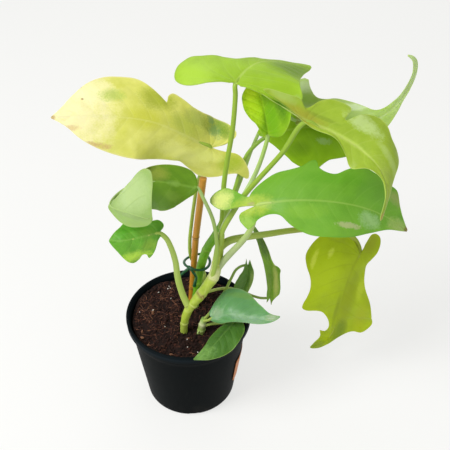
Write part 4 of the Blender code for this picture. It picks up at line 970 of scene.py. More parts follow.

# %% [markdown]
# The right side runs from olive gold, on the hanging leaf, to fresh green on the front one. The upright
# leaf's patches are painted light and shade: the bright ones, the brightest of all, stand in for light
# shining through it from behind, and the dark ones for the shadow of the arched leaf above it.

# %% Looks of the right side and the middle
LOOKS.update({
    "leaf_front": {
        "deep": "649c26", "light": "74a834", "vein": "9cbe54", "edge": "629a2c", "under": "a4c074",
        "veins": 9.0, "rib_strength": 0.5, "broad": 1.6, "stalk": ("b4c48a", "aec080", "a4be58"),
        # The pale yellow a8be42 at (-5, -1) and ccd67e at (-33, -14) are painted light, the paler region near
        # the base where the light from the upper left falls.
        "patches": ((-5, -1, 22, 11, "a8be42", 0.95, 0.3), (-33, -14, 15, 13, "ccd67e", 0.95, 0.3),
                    (-14, 13, 12, 8, "9cc054", 0.8, 0.3), (92, -16, 20, 11, "609628", 0.7, 0.4),
                    (96, 8, 12, 8, "a8c894", 0.5, 0.5), (116, -18, 12, 7, "94a05c", 0.8, 0.4),
                    (124, 2, 14, 8, "a2b864", 0.8, 0.4), (77, 16.5, 12, 2.4, "c4b89c", 0.5, 0.8),
                    (60, -20, 30, 7, "5c9a1e", 0.6, 0.4), (40, 8, 22, 7, "86b434", 0.5, 0.4),
                    (-4, -2, 4.5, 2.6, "a09868", 0.7, 0.4), (137, 0, 4.5, 4, "7c4a22", 0.95, 0.15)),
    },
    "leaf_hanging": {
        "deep": "92a600", "light": "a4ba02", "vein": "7e8e00", "edge": "a2ae20", "under": "a0ac20",
        "pucker": 0.2, "wave": 1.2, "broad": 3.6, "rough": 0.3, "coat": 0.04, "vein_strength": 0.3,
        "rib_strength": 0.3, "stalk": ("a8bc50", "98ac48", "94a41c"),
        # Painted light among these patches: the two ccd850 at (24, 36) and (12, 24) are painted highlights,
        # and 8a9a00 at (58, -5) and 7c8e00 at (70, 3) are painted shade along the deep middle fold.
        "patches": ((34, 26, 36, 22, "acc204", 0.8, 0.15), (58, -5, 44, 8, "8a9a00", 0.85, 0.15),
                    (24, 36, 9, 3, "ccd850", 0.7, 0.4), (12, 24, 6, 3, "ccd850", 0.7, 0.4),
                    (70, 3, 26, 2.4, "7c8e00", 0.7, 0.2), (96, -5, 17, 8, "6c8410", 0.85, 0.2),
                    (78, -22, 26, 8, "a0ae06", 0.8, 0.2), (-12, -5, 12, 8, "949e1c", 0.7, 0.2),
                    (42, -14, 14, 4, "b4c42c", 0.6, 0.3), (122, 0, 12, 6, "7f9430", 0.7, 0.3)),
    },
    "leaf_dark": {
        "deep": "82ac0c", "light": "9ac21c", "vein": "b0cc50", "edge": "88a844", "rib_strength": 0.5,
        "stalk": ("a0bc44", "8aae34", "82a62c"),
        # The pale b0c890 patch at (53, 11) is a painted highlight.
        "patches": ((53, 11, 9, 3.5, "b0c890", 0.6, 0.6), (28, 18, 14, 8, "6c9210", 0.6, 0.3)),
    },
    "leaf_upright": {
        "deep": "6c9e08", "light": "90b81a", "vein": "a8ca48", "edge": "9cc038", "under": "a8cc58",
        "veins": 6.0, "rib_strength": 0.15, "stalk": ("b8cc94", "bcd09a", "a4c460"),
        # All five patches are painted light: the bright c4ea2a, dcfc38 and 9ad010 stand in for light shining
        # through the leaf towards its top, and the dark 68a000 and 52820a are painted shadow where the arched
        # leaf's strip hangs over its right half.
        "patches": ((28, -8, 24, 10, "c4ea2a", 0.9, 0.3), (11, 6, 16, 8, "68a000", 0.85, 0.3),
                    (20, 18, 16, 8, "52820a", 0.95, 0.3), (38, -4, 10, 10, "dcfc38", 0.9, 0.3),
                    (38, 8, 9, 7, "9ad010", 0.9, 0.3)),
    },
    "leaf_narrow": {
        "deep": "64902c", "light": "88ae3c", "vein": "9cb85a", "edge": "7f974a", "under": "86985c",
        "veins": 6.0, "rib_strength": 0.2, "stalk": ("aebc5c", "94a83c", "7c963a"),
        "patches": ((24, 6, 24, 5, "b8c26c", 0.9, 0.2), (66, 0, 20, 8, "4a682c", 0.85, 0.3),
                    (20, -3, 16, 3.5, "789436", 0.6, 0.3), (-8, 0, 5, 6, "6e5028", 0.8, 0.4)),
    },
})
print("looks so far:", len(LOOKS))

# %% [markdown]
# The low leaves are a deeper green, and one is bluish green with a few painted highlights. The pale leaf is a
# soft, dull green.

# %% Looks of the low leaves and the pale one
LOOKS.update({
    "leaf_small": {
        "deep": "4a7420", "light": "648c3c", "vein": "80a452", "edge": "7c9c4c", "veins": 5.0,
        "stalk": ("96aa46", "84a03a", "6c9434"),
        "patches": ((16, -5, 18, 3, "8aa056", 0.8, 0.3),),
    },
    "leaf_bluegreen": {
        "deep": "589052", "light": "689c62", "vein": "8cb482", "edge": "96b078", "under": "96b48c",
        "veins": 7.0, "rough": 0.3, "coat": 0.14, "stalk": ("aebe5a", "92ac48", "80a248"),
        # The pale 90ac86 at (6, -3) and a2b28e at (59, 0) are painted highlights, the glare on the glossy
        # blade.
        "patches": ((6, -3, 9, 7, "90ac86", 0.8, 0.4), (38, 3, 22, 5, "84a684", 0.7, 0.4),
                    (59, 0, 9, 4, "a2b28e", 0.8, 0.3), (30, -19, 18, 4, "6e9a4c", 0.7, 0.3)),
    },
    "leaf_low": {
        "deep": "39631a", "light": "517e30", "vein": "6c9444", "edge": "88a94c", "veins": 7.0,
        "stalk": ("9cb04e", "7a9c3a", "64902e"),
        "patches": ((44, -1, 13, 9, "7aa452", 0.85, 0.4), (14, 0, 12, 4, "305816", 0.7, 0.3)),
    },
    "leaf_pale": {
        "deep": "96b456", "light": "a6be6c", "vein": "bccf8c", "edge": "b2c882", "under": "b4ca8c",
        "stalk": ("a8be58", "9cbc54", "a0c066"),
        "patches": ((10, -32, 12, 8, "b8cc98", 0.85, 0.3), (12, -19, 12, 7, "90b440", 0.85, 0.3),
                    (125, 0, 45, 20, "b4cc8a", 0.8, 0.3), (50, -13, 16, 4, "c6d8aa", 0.8, 0.3),
                    (48, 2, 30, 7, "8eb048", 0.7, 0.3), (-2, -2, 9, 12, "8c962a", 0.9, 0.2)),
    },
})
LOOKS = {name: {**PLAIN_LOOK, **look} for name, look in LOOKS.items()}
print("looks:", len(LOOKS), "patches in all:", sum(len(look["patches"]) for look in LOOKS.values()))

# %% [markdown]
# With the surface, the relief and the palette ready, each leaf is a few lines: grow the skins, make the
# two finishes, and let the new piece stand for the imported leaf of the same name.

# %% Grow the leaves
BLADE_SEED = 7.3
STALK_SEED = 3.1

for order, (name, leaf) in enumerate(LEAVES.items(), start=1):
    look = LOOKS[name]
    points, faces, counts, facts = grow_leaf(leaf, look, order * BLADE_SEED)
    look["spacing"] = float(facts["rank"][0, 2]) / look["veins"]
    paints = [leaf_paint(name + "_blade", look, order * BLADE_SEED),
              stalk_paint(name + "_stalk", look["stalk"], order * STALK_SEED)]
    face_paint = np.repeat([0, 1], counts)
    add_piece(name + "_fine", points, faces, paints, [name], face_paint, facts, sharp=60)
    print(name, "faces:", len(faces))

# %% [markdown]
# The stems are thick and pale, with a scar where each old leaf came off. The main stem has a brown scar
# below its pale, swollen knot, while the one behind it is smooth and bright green. One skin per stem
# carries the scars as bumps in its radius, and the scars' colours come from the distance along it. A nub
# is a short root just below a scar, written as (distance along, turn).

# %% Stems with scars
STEM_SIDES = 32
RING_HEIGHT = 0.3
RING_GROOVE = 0.15
NUB_REACH = 3.2
STEMS = {
    "main_stem": {
        "route": ((-4, -19, 70), (-4, -19, 92), (-3, -19, 107), (1, -18, 122), (6, -18, 131), (13, -19, 143),
                  (19, -19, 154), (25, -17, 164), (28, -14, 177), (30, -12, 193), (31, -11, 207)),
        "radii": (3.6, 3.6, 3.7, 4.2, 4.4, 5.0, 4.6, 5.3, 4.6, 4.1, 3.7),
        "rings": (36.0, 61.0, 79.0, 99.0, 114.0), "brown": (79.0,), "pale": (101.0, 107.0),
        "nubs": ((61.0, 3.6), (79.0, 4.9)),
        "colours": ("92ac24", "aec440", "d4dc84"),
    },
    "climbing_stem": {
        "route": ((6, 12, 70), (6, 12, 94), (7, 14, 110), (13, 16, 149), (19, 15, 170), (27, 13, 187),
                  (32, 11, 200)),
        "radii": (3.3, 3.5, 3.6, 4.2, 4.3, 4.1, 3.5),
        "rings": (56.0, 99.0), "brown": (), "pale": (), "nubs": ((56.0, 4.0),),
        "colours": ("5e9e10", "70b016", "8ebc34"),
    },
    "young_stem": {
        "route": ((12, -20, 74), (12, -20, 92), (13, -20, 100), (14, -20, 106), (16, -19, 112)),
        "radii": (3.4, 3.6, 3.8, 3.4, 2.8),
        "rings": (24.0, 31.0), "brown": (), "pale": (31.0,), "nubs": ((25.0, 4.1),),
        "colours": ("6f9c3c", "8cb253", "b0c87e"),
    },
}


def band(flow, middle, width):
    """1 at the middle, fading to 0 at a width to either side."""
    return (1.0 - abs(flow - middle) / width).clamp()


def stem_paint(name, stem):
    paint = Paint(name)
    length = paint.fact("place")[0]
    place = paint.place()
    streak = paint.cloud(paint.stretch(place, (1.0, 1.0, 0.12)), 420.0, 4.0, 0.6)
    blotch = paint.cloud(place, 90.0, 3.0)
    ragged = length + (paint.cloud(place, 260.0, 3.0) - 0.5) * 4.0
    deep, middle, light = (tint(code) for code in stem["colours"])
    colour = paint.ramp((blotch * 1.5 - 0.25).clamp(), [(0.0, deep), (0.5, middle), (1.0, light)])
    colour = paint.mix(colour, light, ((streak - 0.55) * 4.0).clamp() * 0.45)
    foot = (1.0 - (length - 22.0) / 22.0).clamp()
    colour = paint.mix(colour, tint("a8b858"), foot * 0.5)
    for at in stem["rings"]:
        colour = paint.mix(colour, light, band(ragged, at + 1.2, 1.8) * 0.5)
        colour = paint.mix(colour, tint("8c8a3c"), band(ragged, at, 0.9) * 0.35)
    for at in stem["pale"]:
        colour = paint.mix(colour, tint("e2e0b4"), band(ragged, at + 1.5, 5.0) * 0.6)
    for at in stem["brown"]:
        scar = band(ragged, at, 3.4) * ((blotch - 0.3) * 4.0).clamp()
        colour = paint.mix(colour, tint("7a5a34"), scar * 0.85)
    fleck = paint.cloud(place, 700.0, 2.0)
    colour = paint.mix(colour, tint("8a6a3a"), ((fleck - 0.66) * 8.0).clamp() * 0.55)
    return paint.finish(colour, 0.42 + blotch * 0.15, streak * 0.7 + fleck * 0.3, 0.00025, Coat_Weight=0.05)


def ringed_stem(stem, seed):
    points, faces, facts = tube(stem["route"], stem["radii"], STEM_SIDES, 0.7)
    centres = points.reshape(-1, STEM_SIDES, 3).mean(axis=1).repeat(STEM_SIDES, axis=0)
    length, turn = facts[:, 0], facts[:, 1]
    swell = np.zeros(len(points))
    for at in stem["rings"]:
        off = length - (at + 0.9 * np.sin(turn + at))
        swell += RING_HEIGHT * np.exp(-(off / 1.3) ** 2) - RING_GROOVE * np.exp(-((off - 1.9) / 0.8) ** 2)
    rough = np.array([noise.noise(Vector((math.cos(t) * 1.5, math.sin(t) * 1.5 + seed, a / 5.0)))
                      for a, t in zip(length, turn)])
    points = points + unit(points - centres) * (swell + 0.22 * rough - 0.1)[:, None]
    return points, faces, facts


def root_nub(stem, at, turn):
    """A short tapered root that leaves the stem just below a ring."""
    places, numbers = smooth_curve(stem["route"])
    length = run_length(places)
    centre = read_curve(at, length, places)
    radius = np.interp(np.interp(at, length, numbers), range(len(stem["radii"])), stem["radii"])
    out = np.array((math.cos(turn), math.sin(turn), 0.1))
    route = (centre + out * (radius - 1.4), centre + out * (radius + NUB_REACH * 0.5) + (0, 0, -0.3),
             centre + out * (radius + NUB_REACH) + (0, 0, -1.4))
    points, faces, facts = tube(route, (1.1, 0.85, 0.35), 10, 0.6)
    return points, faces, facts * 0 + (at, 0, 1)


for order, (name, stem) in enumerate(STEMS.items()):
    skins = [ringed_stem(stem, order * 3.0)] + [root_nub(stem, at, turn) for at, turn in stem["nubs"]]
    points, faces, facts, _ = fuse(skins)
    paint = stem_paint(name + "_skin", stem)
    add_piece(name + "_fine", points, faces, [paint], [name], facts={"place": facts}, sharp=70)
    print(name, "rings:", len(stem["rings"]), "faces:", len(faces))

# %% [markdown]
# The plant is held up by a thin bamboo cane. Bamboo grows in straight lengths with a raised, darker ring
# between them, and its skin has fine lengthwise fibres. The top is sawn off flat. A straight tube with a
# few extra rings gives the shape, and stretched noise gives the fibres.

# %% Bamboo cane
CANE_FOOT_RADIUS = 2.7
CANE_TOP_RADIUS = 3.3
CANE_ROUTE = np.array(((-4.0, 24.0, 24.0), (8.0, 24.0, 175.0), (16.0, 24.0, 242.0)))
CANE_KNOTS = (112.0, 175.0)
CANE_SIDES = 32
KNOT_HEIGHT = 0.42
KNOT_GROOVE = 0.16
KNOT_STEPS = (-4, -2.6, -1.6, -1.1, -0.7, -0.3, 0.2, 0.6, 1.0, 1.6, 2.6, 4)
SAWN_EDGE = 0.3


def cane_skin():
    foot, top = CANE_ROUTE[0], CANE_ROUTE[-1]
    heights = [foot[2], *np.arange(30, top[2] - 1, 6), top[2] - 0.4, top[2]]
    heights += [knot + step for knot in CANE_KNOTS for step in KNOT_STEPS]
    turns = even_turns(CANE_SIDES)
    points, facts = [], []
    for height in sorted(heights):
        middle = (np.interp(height, CANE_ROUTE[:, 2], CANE_ROUTE[:, 0]), foot[1], 0.0)
        gaps = [height - knot for knot in CANE_KNOTS]
        swell = sum(KNOT_HEIGHT * math.exp(-gap ** 2) - KNOT_GROOVE * math.exp(-((gap + 1.9) / 0.6) ** 2)
                    for gap in gaps)
        taper = (height - foot[2]) / (top[2] - foot[2])
        radius = CANE_FOOT_RADIUS + (CANE_TOP_RADIUS - CANE_FOOT_RADIUS) * taper + swell
        if height == top[2]:
            radius -= SAWN_EDGE
        points.extend(level_ring(radius, height, turns) + middle)
        nearest = min(map(abs, gaps))
        facts.extend((height, turn, nearest) for turn in turns)
    return np.array(points), capped_faces(len(points) // CANE_SIDES, CANE_SIDES), np.array(facts)


bamboo = Paint("bamboo")
gap = bamboo.fact("place")[2]
fibre = bamboo.cloud(bamboo.stretch(bamboo.place(), (1.0, 1.0, 0.03)), 900.0, 4.0, 0.65)
patch = bamboo.cloud(bamboo.stretch(bamboo.place(), (1.0, 1.0, 0.3)), 110.0, 3.0)
colour = bamboo.ramp((fibre * 0.8 + patch * 0.8 - 0.3).clamp(),
                     [(0.0, tint("a0601a")), (0.45, tint("d09026")), (1.0, tint("dca83c"))])
colour = bamboo.mix(colour, tint("5f3a1c"), band(gap, 0.9, 0.8) * 0.75)
colour = bamboo.mix(colour, tint("dcb070"), band(gap, 0.0, 0.7) * 0.5)
colour = bamboo.mix(colour, tint("6a3c1c"), ((patch - 0.62) * 6.0).clamp() * 0.5)
bamboo_finish = bamboo.finish(colour, 0.38 + patch * 0.2, fibre, 0.0002, Coat_Weight=0.1)
points, faces, facts = cane_skin()
add_piece("cane_fine", points, faces, [bamboo_finish], ["cane"], facts={"place": facts}, sharp=50)
print("cane faces:", len(faces))

# %% [markdown]
# A plastic-covered garden wire ties the stem to the cane. The real one is a loop whose two ends are
# twisted together once and then stick out. The loop is one closed skin, and the ends wind round each
# other as a tiny rope before they part.

# %% Wire tie
TIE_RADIUS = 1.3
TIE_CENTRE = np.array((8.5, 22.0, 146.0))
TIE_REACH = (12.2, 14.5)
TIE_SLOPE = 3.0
TWIST_STEPS = 14
TAIL_SIDES = 14


def closed_tube(places, radius, sides):
    """A ring-shaped skin round a closed run of places."""
    middle = places.mean(axis=0)
    turns = even_turns(sides)[:, None]
    points = []
    for place in places:
        out = unit(place - middle)
        points.extend(place + radius * (np.cos(turns) * out + np.sin(turns) * (0.0, 0.0, 1.0)))
    faces = [face for low in range(0, len(points), sides)
             for face in between_rings(low, (low + sides) % len(points), sides)]
    return np.array(points), faces, np.zeros((len(points), 3))


turns = even_turns(96)
rise = 1.2 * np.sin(2 * turns) - TIE_SLOPE * np.sin(turns)
loop = TIE_CENTRE + np.column_stack([TIE_REACH[0] * np.cos(turns), TIE_REACH[1] * np.sin(turns), rise])
parts = [closed_tube(loop, TIE_RADIUS, 16)]
steps = np.linspace(0, 1, TWIST_STEPS)
for start in (0.0, math.pi):
    middle = (1.0, 11.0, 149.2) + steps[:, None] * (3.8, -2.4, -0.2)
    wind = start + steps * 2.2 * math.pi
    route = middle + 0.85 * np.column_stack([np.zeros(TWIST_STEPS), np.cos(wind), np.sin(wind)])
    parts.append(tube(route, (TIE_RADIUS * 0.85,) * TWIST_STEPS, TAIL_SIDES, 0.6))
long_tail = ((3.5, 9.5, 149.5), (1, 9, 149), (-3, 8, 146), (-7, 7, 142))
curl = ((2.5, 10, 149.5), (5, 8, 146), (8, 7, 140), (7, 6, 135), (6, 6, 130))
parts.append(tube(long_tail, (1.3, 1.35, 1.3, 1.1), TAIL_SIDES, 0.6))
parts.append(tube(curl, (1.3, 1.3, 1.2, 1.4, 1.6), TAIL_SIDES, 0.6))
points, faces, _, _ = fuse(parts)
wire = Paint("green_wire_cover")
mottle = wire.cloud(wire.place(), 500.0, 3.0)
scuff = wire.cloud(wire.place(), 1800.0, 2.0)
colour = wire.mix(tint("083f1e"), tint("0f6633"), mottle)
colour = wire.mix(colour, tint("5fae84"), ((scuff - 0.62) * 6.0).clamp() * 0.35)
wire_finish = wire.finish(colour, 0.28 + mottle * 0.14, scuff, 0.00008)
add_piece("tie_fine", points, faces, [wire_finish], ["tie"], sharp=60)
print("tie faces:", len(faces))

# %% [markdown]
# A nursery pot is blown or moulded from thin black plastic. Its wall tapers, a rolled lip stiffens the
# top, and a faint step runs round just under the lip where the mould parts. The profile is turned with
# many sides so that the lip stays round up close, and the drain slots and holes are cut with simple
# blocks and rods.

# %% Nursery pot
POT_HEIGHT = 102.0
RIM_RADIUS = 60.0
WALL_TOP_RADIUS = 56.4
BASE_RADIUS = 43.6
WALL = 1.3
FLOOR = 2.0
LIP_DEPTH = 8.0
SHOULDER = POT_HEIGHT - LIP_DEPTH
POT_SIDES = 160
DRAINS = 6
FIRST_DRAIN = -84
SLOT_HALF_WIDTH = 5
SLOT_HEIGHTS = (-3, 2.6)
DRAIN_PLACE = 28.0
DRAIN_RADIUS = 3.5


def wall_radius(height):
    return BASE_RADIUS + (WALL_TOP_RADIUS - BASE_RADIUS) * height / SHOULDER


def turned(profile, sides):
    """Points and faces of a solid turned round Z, from (radius, height) points that start and end on Z."""
    turns = even_turns(sides)
    rings = [level_ring(radius, height, turns) for radius, height in profile[1:-1]]
    points = np.vstack([(0.0, 0.0, profile[0][1]), *rings, (0.0, 0.0, profile[-1][1])])
    return points, lump_faces(len(rings), sides)


def cut_away(piece, cutters):
    """Takes the cutters out of a piece for good, so that no cutter stays in the scene."""
    for cutter in cutters:
        change = piece.modifiers.new("cut", "BOOLEAN")
        change.object, change.solver = cutter, "EXACT"
    seen = piece.evaluated_get(bpy.context.evaluated_depsgraph_get())
    mesh = bpy.data.meshes.new_from_object(seen)
    piece.modifiers.clear()
    piece.data = mesh
    for cutter in cutters:
        bpy.data.objects.remove(cutter, do_unlink=True)


foot = ((-9, 0.8), (-8.4, 0), (-2.5, 0), (-1.3, 0.3), (-0.4, 1.2))
wall = ((0, 2.4), (0, 5), (0, 10), (0, 20), (0, 30), (0, 40), (0, 50), (0, 60), (0, 70), (0, 78), (0, 84),
        (0, 87.6), (0.25, 88.2), (0.3, 89))
under_lip = ((0.1, -1.0), (0.5, -0.6))
lip_foot = ((-1.2, -0.45), (-0.7, -0.2), (-0.45, 0.4), (-0.3, 2.5))
lip_top = ((-0.05, -2.6), (-0.1, -1.3), (-0.5, -0.5), (-1.1, -0.1), (-1.7, 0), (-2.4, -0.2), (-3.0, -0.9),
           (-3.4, -2.2))
profile = [(0, 0.8)]
profile += [(BASE_RADIUS + out, height) for out, height in foot]
profile += [(wall_radius(height) + out, height) for out, height in wall]
profile += [(WALL_TOP_RADIUS + out, SHOULDER + up) for out, up in under_lip]
profile += [(RIM_RADIUS + out, SHOULDER + up) for out, up in lip_foot]
profile += [(RIM_RADIUS + out, POT_HEIGHT + up) for out, up in lip_top]
profile += [(WALL_TOP_RADIUS - WALL + 0.8, SHOULDER + 1.0), (WALL_TOP_RADIUS - WALL, SHOULDER - 2.0)]
profile += [(wall_radius(height) - WALL, height) for height in (80, 60, 40, 20, 6)]
profile += [(wall_radius(FLOOR) - WALL - 1.2, FLOOR), (0, FLOOR)]
points, faces = turned(profile, POT_SIDES)
print("pot profile:", len(profile), "points, faces:", len(faces))

# %% [markdown]
# The plastic is nearly black and slightly rough. Dust lightens it unevenly, a paler band round the lip is
# a painted highlight, and the foot is soiled where it stood on wet ground.

# %% Black plastic
plastic = Paint("black_plastic_moulded")
place = plastic.place()
dust = plastic.cloud(place, 60.0, 5.0, 0.65)
grain = plastic.cloud(place, 2600.0, 2.0)
smear = plastic.cloud(plastic.stretch(place, (1.0, 1.0, 0.25)), 140.0, 4.0)
height = plastic.split(place)[2]
colour = plastic.mix(tint("020304"), tint("0a1112"), dust)
# Painted highlight: a paler, bluish band round the lip, where the light catches it.
colour = plastic.mix(colour, tint("1c262c"), band(height, 0.0985, 0.005) * 0.6)
colour = plastic.mix(colour, tint("34342f"), ((smear - 0.62) * 5.0).clamp() * 0.25)
low = (1.0 - height / 0.02).clamp()
colour = plastic.mix(colour, tint("3c3832"), low * ((dust - 0.5) * 4.0).clamp() * 0.4)
rough = 0.45 + dust * 0.16 + ((smear - 0.6) * 2.0).clamp() * 0.2
plastic_finish = plastic.finish(colour, rough, grain, 0.00006, Specular_IOR_Level=0.03)
pot = add_piece("pot_fine", points, faces, [plastic_finish], ["pot"])
print("pot faces before cutting:", len(pot.data.polygons))

# %% [markdown]
# Six slots at the foot and six round holes in the floor let water out. Each cutter is made, used and
# removed, so nothing of it stays in the scene.

# %% Slots and holes
cutters = []
box_faces = [(3, 2, 1, 0), (4, 5, 6, 7), (0, 1, 5, 4), (1, 2, 6, 5), (2, 3, 7, 6), (3, 0, 4, 7)]
near, far = BASE_RADIUS - 5.5, BASE_RADIUS + 6
for k in range(DRAINS):
    turn = math.radians(FIRST_DRAIN + k * 360 / DRAINS)
    out = np.array((math.cos(turn), math.sin(turn), 0.0))
    side = np.array((-math.sin(turn), math.cos(turn), 0.0)) * SLOT_HALF_WIDTH
    corners = (out * near - side, out * far - side, out * far + side, out * near + side)
    box = [corner + (0, 0, height) for height in SLOT_HEIGHTS for corner in corners]
    cutters.append(new_object("slot_cutter", box, box_faces))
    hole = out * DRAIN_PLACE
    rod = tube((hole + (0, 0, -3), hole, hole + (0, 0, 5)), (DRAIN_RADIUS,) * 3, 32, 2)
    cutters.append(new_object("drain_cutter", *rod[:2]))
cut_away(pot, cutters)
pot.data.shade_smooth()
pot.data.set_sharp_from_angle(angle=math.radians(35))
print("pot faces after cutting:", len(pot.data.polygons))

# %% [markdown]
# A blank orange sticker sits on the pot's right side. It is paper-thin, its corners are rounded, and it
# follows the wall. A grid whose rows get narrower near the top and bottom gives the rounded corners.

# %% Blank sticker
LABEL_TURN = (-28.0, 8.0)
LABEL_HEIGHT = (26.0, 58.0)
CORNER = 3.0
OFF_WALL = 0.45
THICKNESS = 0.45
middle_turn = math.radians(sum(LABEL_TURN) / 2)
label_radius = wall_radius(sum(LABEL_HEIGHT) / 2)
half_width = math.radians(LABEL_TURN[1] - LABEL_TURN[0]) / 2 * label_radius
rows = np.concatenate([LABEL_HEIGHT[0] + CORNER * (1 - np.cos(np.linspace(0, math.pi / 2, 8))),
                       np.linspace(LABEL_HEIGHT[0] + CORNER + 2, LABEL_HEIGHT[1] - CORNER - 2, 10),
                       LABEL_HEIGHT[1] - CORNER * (1 - np.cos(np.linspace(math.pi / 2, 0, 8)))])
inset = CORNER - np.minimum(np.minimum(rows - LABEL_HEIGHT[0], LABEL_HEIGHT[1] - rows), CORNER)
reach = half_width - CORNER + np.sqrt(np.maximum(CORNER ** 2 - inset ** 2, 0.0))
across = np.linspace(-1, 1, 48)
turn = middle_turn + reach[:, None] * across[None, :] / label_radius
lift = OFF_WALL + 0.12 * (np.abs(across) ** 6)[None, :]
heights = np.broadcast_to(rows[:, None], turn.shape)
sheets = []
for gap in (THICKNESS, 0.0):
    radius = wall_radius(rows)[:, None] + lift + gap
    sheets.append(np.stack([radius * np.cos(turn), radius * np.sin(turn), heights], -1))
points, faces = grid_skin(*sheets)
sticker = Paint("orange_sticker")
mottle = sticker.cloud(sticker.place(), 220.0, 3.0)
paper = sticker.cloud(sticker.place(), 1500.0, 3.0)
colour = sticker.mix(tint("b05a12"), tint("cc7a1e"), mottle)
colour = sticker.mix(colour, tint("f2a468"), ((paper - 0.6) * 5.0).clamp() * 0.3)
sticker_finish = sticker.finish(colour, 0.4 + mottle * 0.15, paper, 0.00005)
add_piece("label_fine", points, faces, [sticker_finish], ["label"], sharp=50)
print("sticker faces:", len(faces))

# %% [markdown]
# Potting mix is a dark mass of composted bark and coir. From above it reads as crumbs, loose reddish
# fibres and a few pale chips, so a smooth top with a noisy colour would look like clay. The body is one
# closed lump with a rough top, and real crumbs and fibres lie on it.

# %% Body of the potting mix
SOIL_TOP = 95.0
SOIL_BUMP = 1.08
SOIL_SIDES = 168
SOIL_STEPS = 56


def soil_height(x, y):
    rolling = np.sin(x / 6.1 + 0.6) * np.cos(y / 7.3) + 0.6 * np.sin(x / 3.7 - y / 4.9 + 1.1)
    return SOIL_TOP + SOIL_BUMP * rolling + 0.02 * y


def soil_grit(x, y):
    """Crumb-sized roughness of the top, in millimetres."""
    place = Vector((x / 3.2, y / 3.2, 0.0))
    return 1.5 * noise.noise(place) + 0.8 * noise.noise(place * 2.7)


def soil_surface(x, y):
    return float(soil_height(x, y)) + soil_grit(x, y)


SOIL_EDGE = wall_radius(SOIL_TOP - 5) - WALL - 0.3
turns = even_turns(SOIL_SIDES)
points = [(0.0, 0.0, FLOOR + 0.3)]
for radius, height in ((wall_radius(FLOOR) - WALL - 2.0, FLOOR + 0.3), (wall_radius(50.0) - WALL - 0.3, 50.0),
                       (SOIL_EDGE, SOIL_TOP - 5)):
    points.extend(level_ring(radius, height, turns))
for step in range(SOIL_STEPS):
    radius = SOIL_EDGE * (1 - step / SOIL_STEPS)
    for turn in turns:
        x, y = radius * math.cos(turn), radius * math.sin(turn)
        rough = soil_grit(x, y) * min(1.0, (SOIL_EDGE - radius) / 3 + 0.4)
        points.append((x, y, soil_height(x, y) + rough))
points.append((0.0, 0.0, soil_surface(0, 0)))
faces = lump_faces(3 + SOIL_STEPS, SOIL_SIDES)


def soil_paint(name, dark, middle, light, depth):
    paint = Paint(name)
    place = paint.place()
    clump = paint.cloud(place, 160.0, 4.0, 0.6)
    grit = paint.cloud(place, 900.0, 4.0, 0.7)
    chip = paint.cells(place, 520.0, "F1", "Color")
    red, green, _ = paint.split(chip)
    colour = paint.ramp((clump * 0.6 + grit * 0.7 - 0.15).clamp(),
                        [(0.15, tint(dark)), (0.5, tint(middle)), (0.9, tint(light))])
    colour = paint.mix(colour, tint("583225"), ((red - 0.8) * 8.0).clamp() * 0.5)
    colour = paint.mix(colour, tint("150b09"), ((green - 0.7) * 6.0).clamp() * 0.6)
    return paint.finish(colour, 0.86 + grit * 0.12, grit * 0.6 + clump * 0.4, depth, Specular_IOR_Level=0.25)


damp_mix = soil_paint("damp_mix", "100705", "1d0f0b", "3a2118", 0.0009)
add_piece("soil_fine", points, faces, [damp_mix], ["soil"])
print("soil faces:", len(faces))

# %% [markdown]
# Each crumb is a small ball whose points are pushed in and out by noise, pressed a little flat and turned
# at random. The seed is fixed, so the same crumbs appear every time.

# %% Crumbs
chance = np.random.default_rng(41)
CRUMBS = 1500
REACH = SOIL_EDGE - 1.5
GOLD = (1 + 5 ** 0.5) / 2
BALL = unit([(-1, GOLD, 0), (1, GOLD, 0), (-1, -GOLD, 0), (1, -GOLD, 0), (0, -1, GOLD), (0, 1, GOLD),
             (0, -1, -GOLD), (0, 1, -GOLD), (GOLD, 0, -1), (GOLD, 0, 1), (-GOLD, 0, -1), (-GOLD, 0, 1)])
BALL_FACES = [(0, 11, 5), (0, 5, 1), (0, 1, 7), (0, 7, 10), (0, 10, 11), (1, 5, 9), (5, 11, 4),
              (11, 10, 2), (10, 7, 6), (7, 1, 8), (3, 9, 4), (3, 4, 2), (3, 2, 6), (3, 6, 8), (3, 8, 9),
              (4, 9, 5), (2, 4, 11), (6, 2, 10), (8, 6, 7), (9, 8, 1)]


def finer_ball(points, faces):
    """Splits every triangle of a ball in four."""
    points, middles, finer = [tuple(p) for p in points], {}, []
    for a, b, c in faces:
        corners = []
        for pair in ((a, b), (b, c), (c, a)):
            key = tuple(sorted(pair))
            if key not in middles:
                middles[key] = len(points)
                points.append(tuple(unit(np.add(points[pair[0]], points[pair[1]]))))
            corners.append(middles[key])
        ab, bc, ca = corners
        finer += [(a, ab, ca), (b, bc, ab), (c, ca, bc), (ab, bc, ca)]
    return np.array(points), finer


BALL, BALL_FACES = finer_ball(BALL, BALL_FACES)


def random_turn():
    """A random turn in space, as a matrix."""
    w, x, y, z = unit(chance.normal(size=4))
    return np.array([(1 - 2 * (y * y + z * z), 2 * (x * y - z * w), 2 * (x * z + y * w)),
                     (2 * (x * y + z * w), 1 - 2 * (x * x + z * z), 2 * (y * z - x * w)),
                     (2 * (x * z - y * w), 2 * (y * z + x * w), 1 - 2 * (x * x + y * y))])


def crumb(size, flat):
    """One rough lump, as points about its own middle."""
    shift = chance.uniform(0, 50)
    push = np.array([1 + 0.55 * noise.noise(Vector(p) * 1.4 + Vector((shift, 0, 0))) for p in BALL])
    lump = BALL * push[:, None] * (1.0, chance.uniform(0.6, 1.0), flat) * size
    return lump @ random_turn().T


def on_soil(share, turn):
    x, y = REACH * share * math.cos(turn), REACH * share * math.sin(turn)
    return np.array((x, y, soil_surface(x, y)))


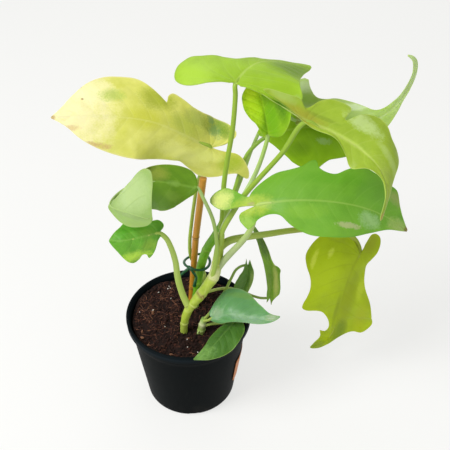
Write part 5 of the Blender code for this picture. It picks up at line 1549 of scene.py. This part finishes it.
def spread(count, make, lift):
    """Lumps laid evenly over the soil, all in one mesh."""
    parts = []
    for _ in range(count):
        place = on_soil(math.sqrt(chance.uniform(0, 1)), chance.uniform(0, 2 * math.pi))
        lump = make() + place + (0, 0, lift)
        parts.append((lump, BALL_FACES, np.zeros((len(lump), 3))))
    return fuse(parts)


def soil_crumb():
    return crumb(0.7 + 1.3 * chance.uniform() ** 2, chance.uniform(0.5, 0.9))


points, faces, _, _ = spread(CRUMBS, soil_crumb, 0.15)
crumb_finish = soil_paint("crumbs", "140a07", "281510", "46291d", 0.0004)
add_piece("soil_crumbs", points, faces, [crumb_finish])
print("crumbs:", CRUMBS, "faces:", len(faces))

# %% [markdown]
# Fibres are short bent tubes that rest on the surface, and most of them lie near the back left, where the
# mix is loosest.

# %% Fibres
FIBRES = 230
parts = []
for _ in range(FIBRES):
    share = math.sqrt(chance.uniform(0, 1))
    turn = chance.normal(2.4, 1.3)
    place = on_soil(share, turn)
    way = chance.uniform(0, 2 * math.pi)
    reach = chance.uniform(4, 15)
    bend = chance.uniform(-0.5, 0.5)
    route = []
    for step in np.linspace(-0.5, 0.5, 5):
        aim = way + bend * step * 4
        x, y = place[:2] + reach * step * np.array((math.cos(aim), math.sin(aim)))
        limit = min(1.0, REACH / max(math.hypot(x, y), 1e-6))
        x, y = x * limit, y * limit
        route.append((x, y, soil_surface(x, y) + 0.35 + chance.uniform(-0.2, 0.7)))
    thick = chance.uniform(0.12, 0.3)
    parts.append(tube(route, (thick * 0.5, thick, thick, thick * 0.8, thick * 0.4), 6, 1.2))
points, faces, _, _ = fuse(parts)
coir = Paint("coir_fibres")
tone = coir.cloud(coir.place(), 240.0, 3.0)
colour = coir.ramp(tone, [(0.25, tint("2a1610")), (0.5, tint("643a28")), (0.8, tint("a87450"))])
fibre_finish = coir.finish(colour, 0.75 + tone * 0.15, tone, 0.0001)
add_piece("soil_fibres", points, faces, [fibre_finish])
print("fibres:", len(parts), "faces:", len(faces))

# %% [markdown]
# A few grains of white perlite and some chips of bark are the same lumps again, larger and paler.

# %% Perlite and bark
CHIPS = (("perlite", 16, 0.9, ("cfc9be", "f4f1ea")), ("bark_chips", 26, 1.8, ("5a3826", "96694a")))
for name, count, size, (dull, bright) in CHIPS:
    points, faces, _, _ = spread(count, lambda: crumb(size * chance.uniform(0.6, 1.3), 0.55), 0.4)
    paint = Paint(name)
    tone = paint.cloud(paint.place(), 500.0, 4.0)
    finish = paint.finish(paint.mix(tint(dull), tint(bright), tone), 0.8 + tone * 0.1, tone, 0.0003)
    add_piece(name, points, faces, [finish])
    print(name + ":", count)
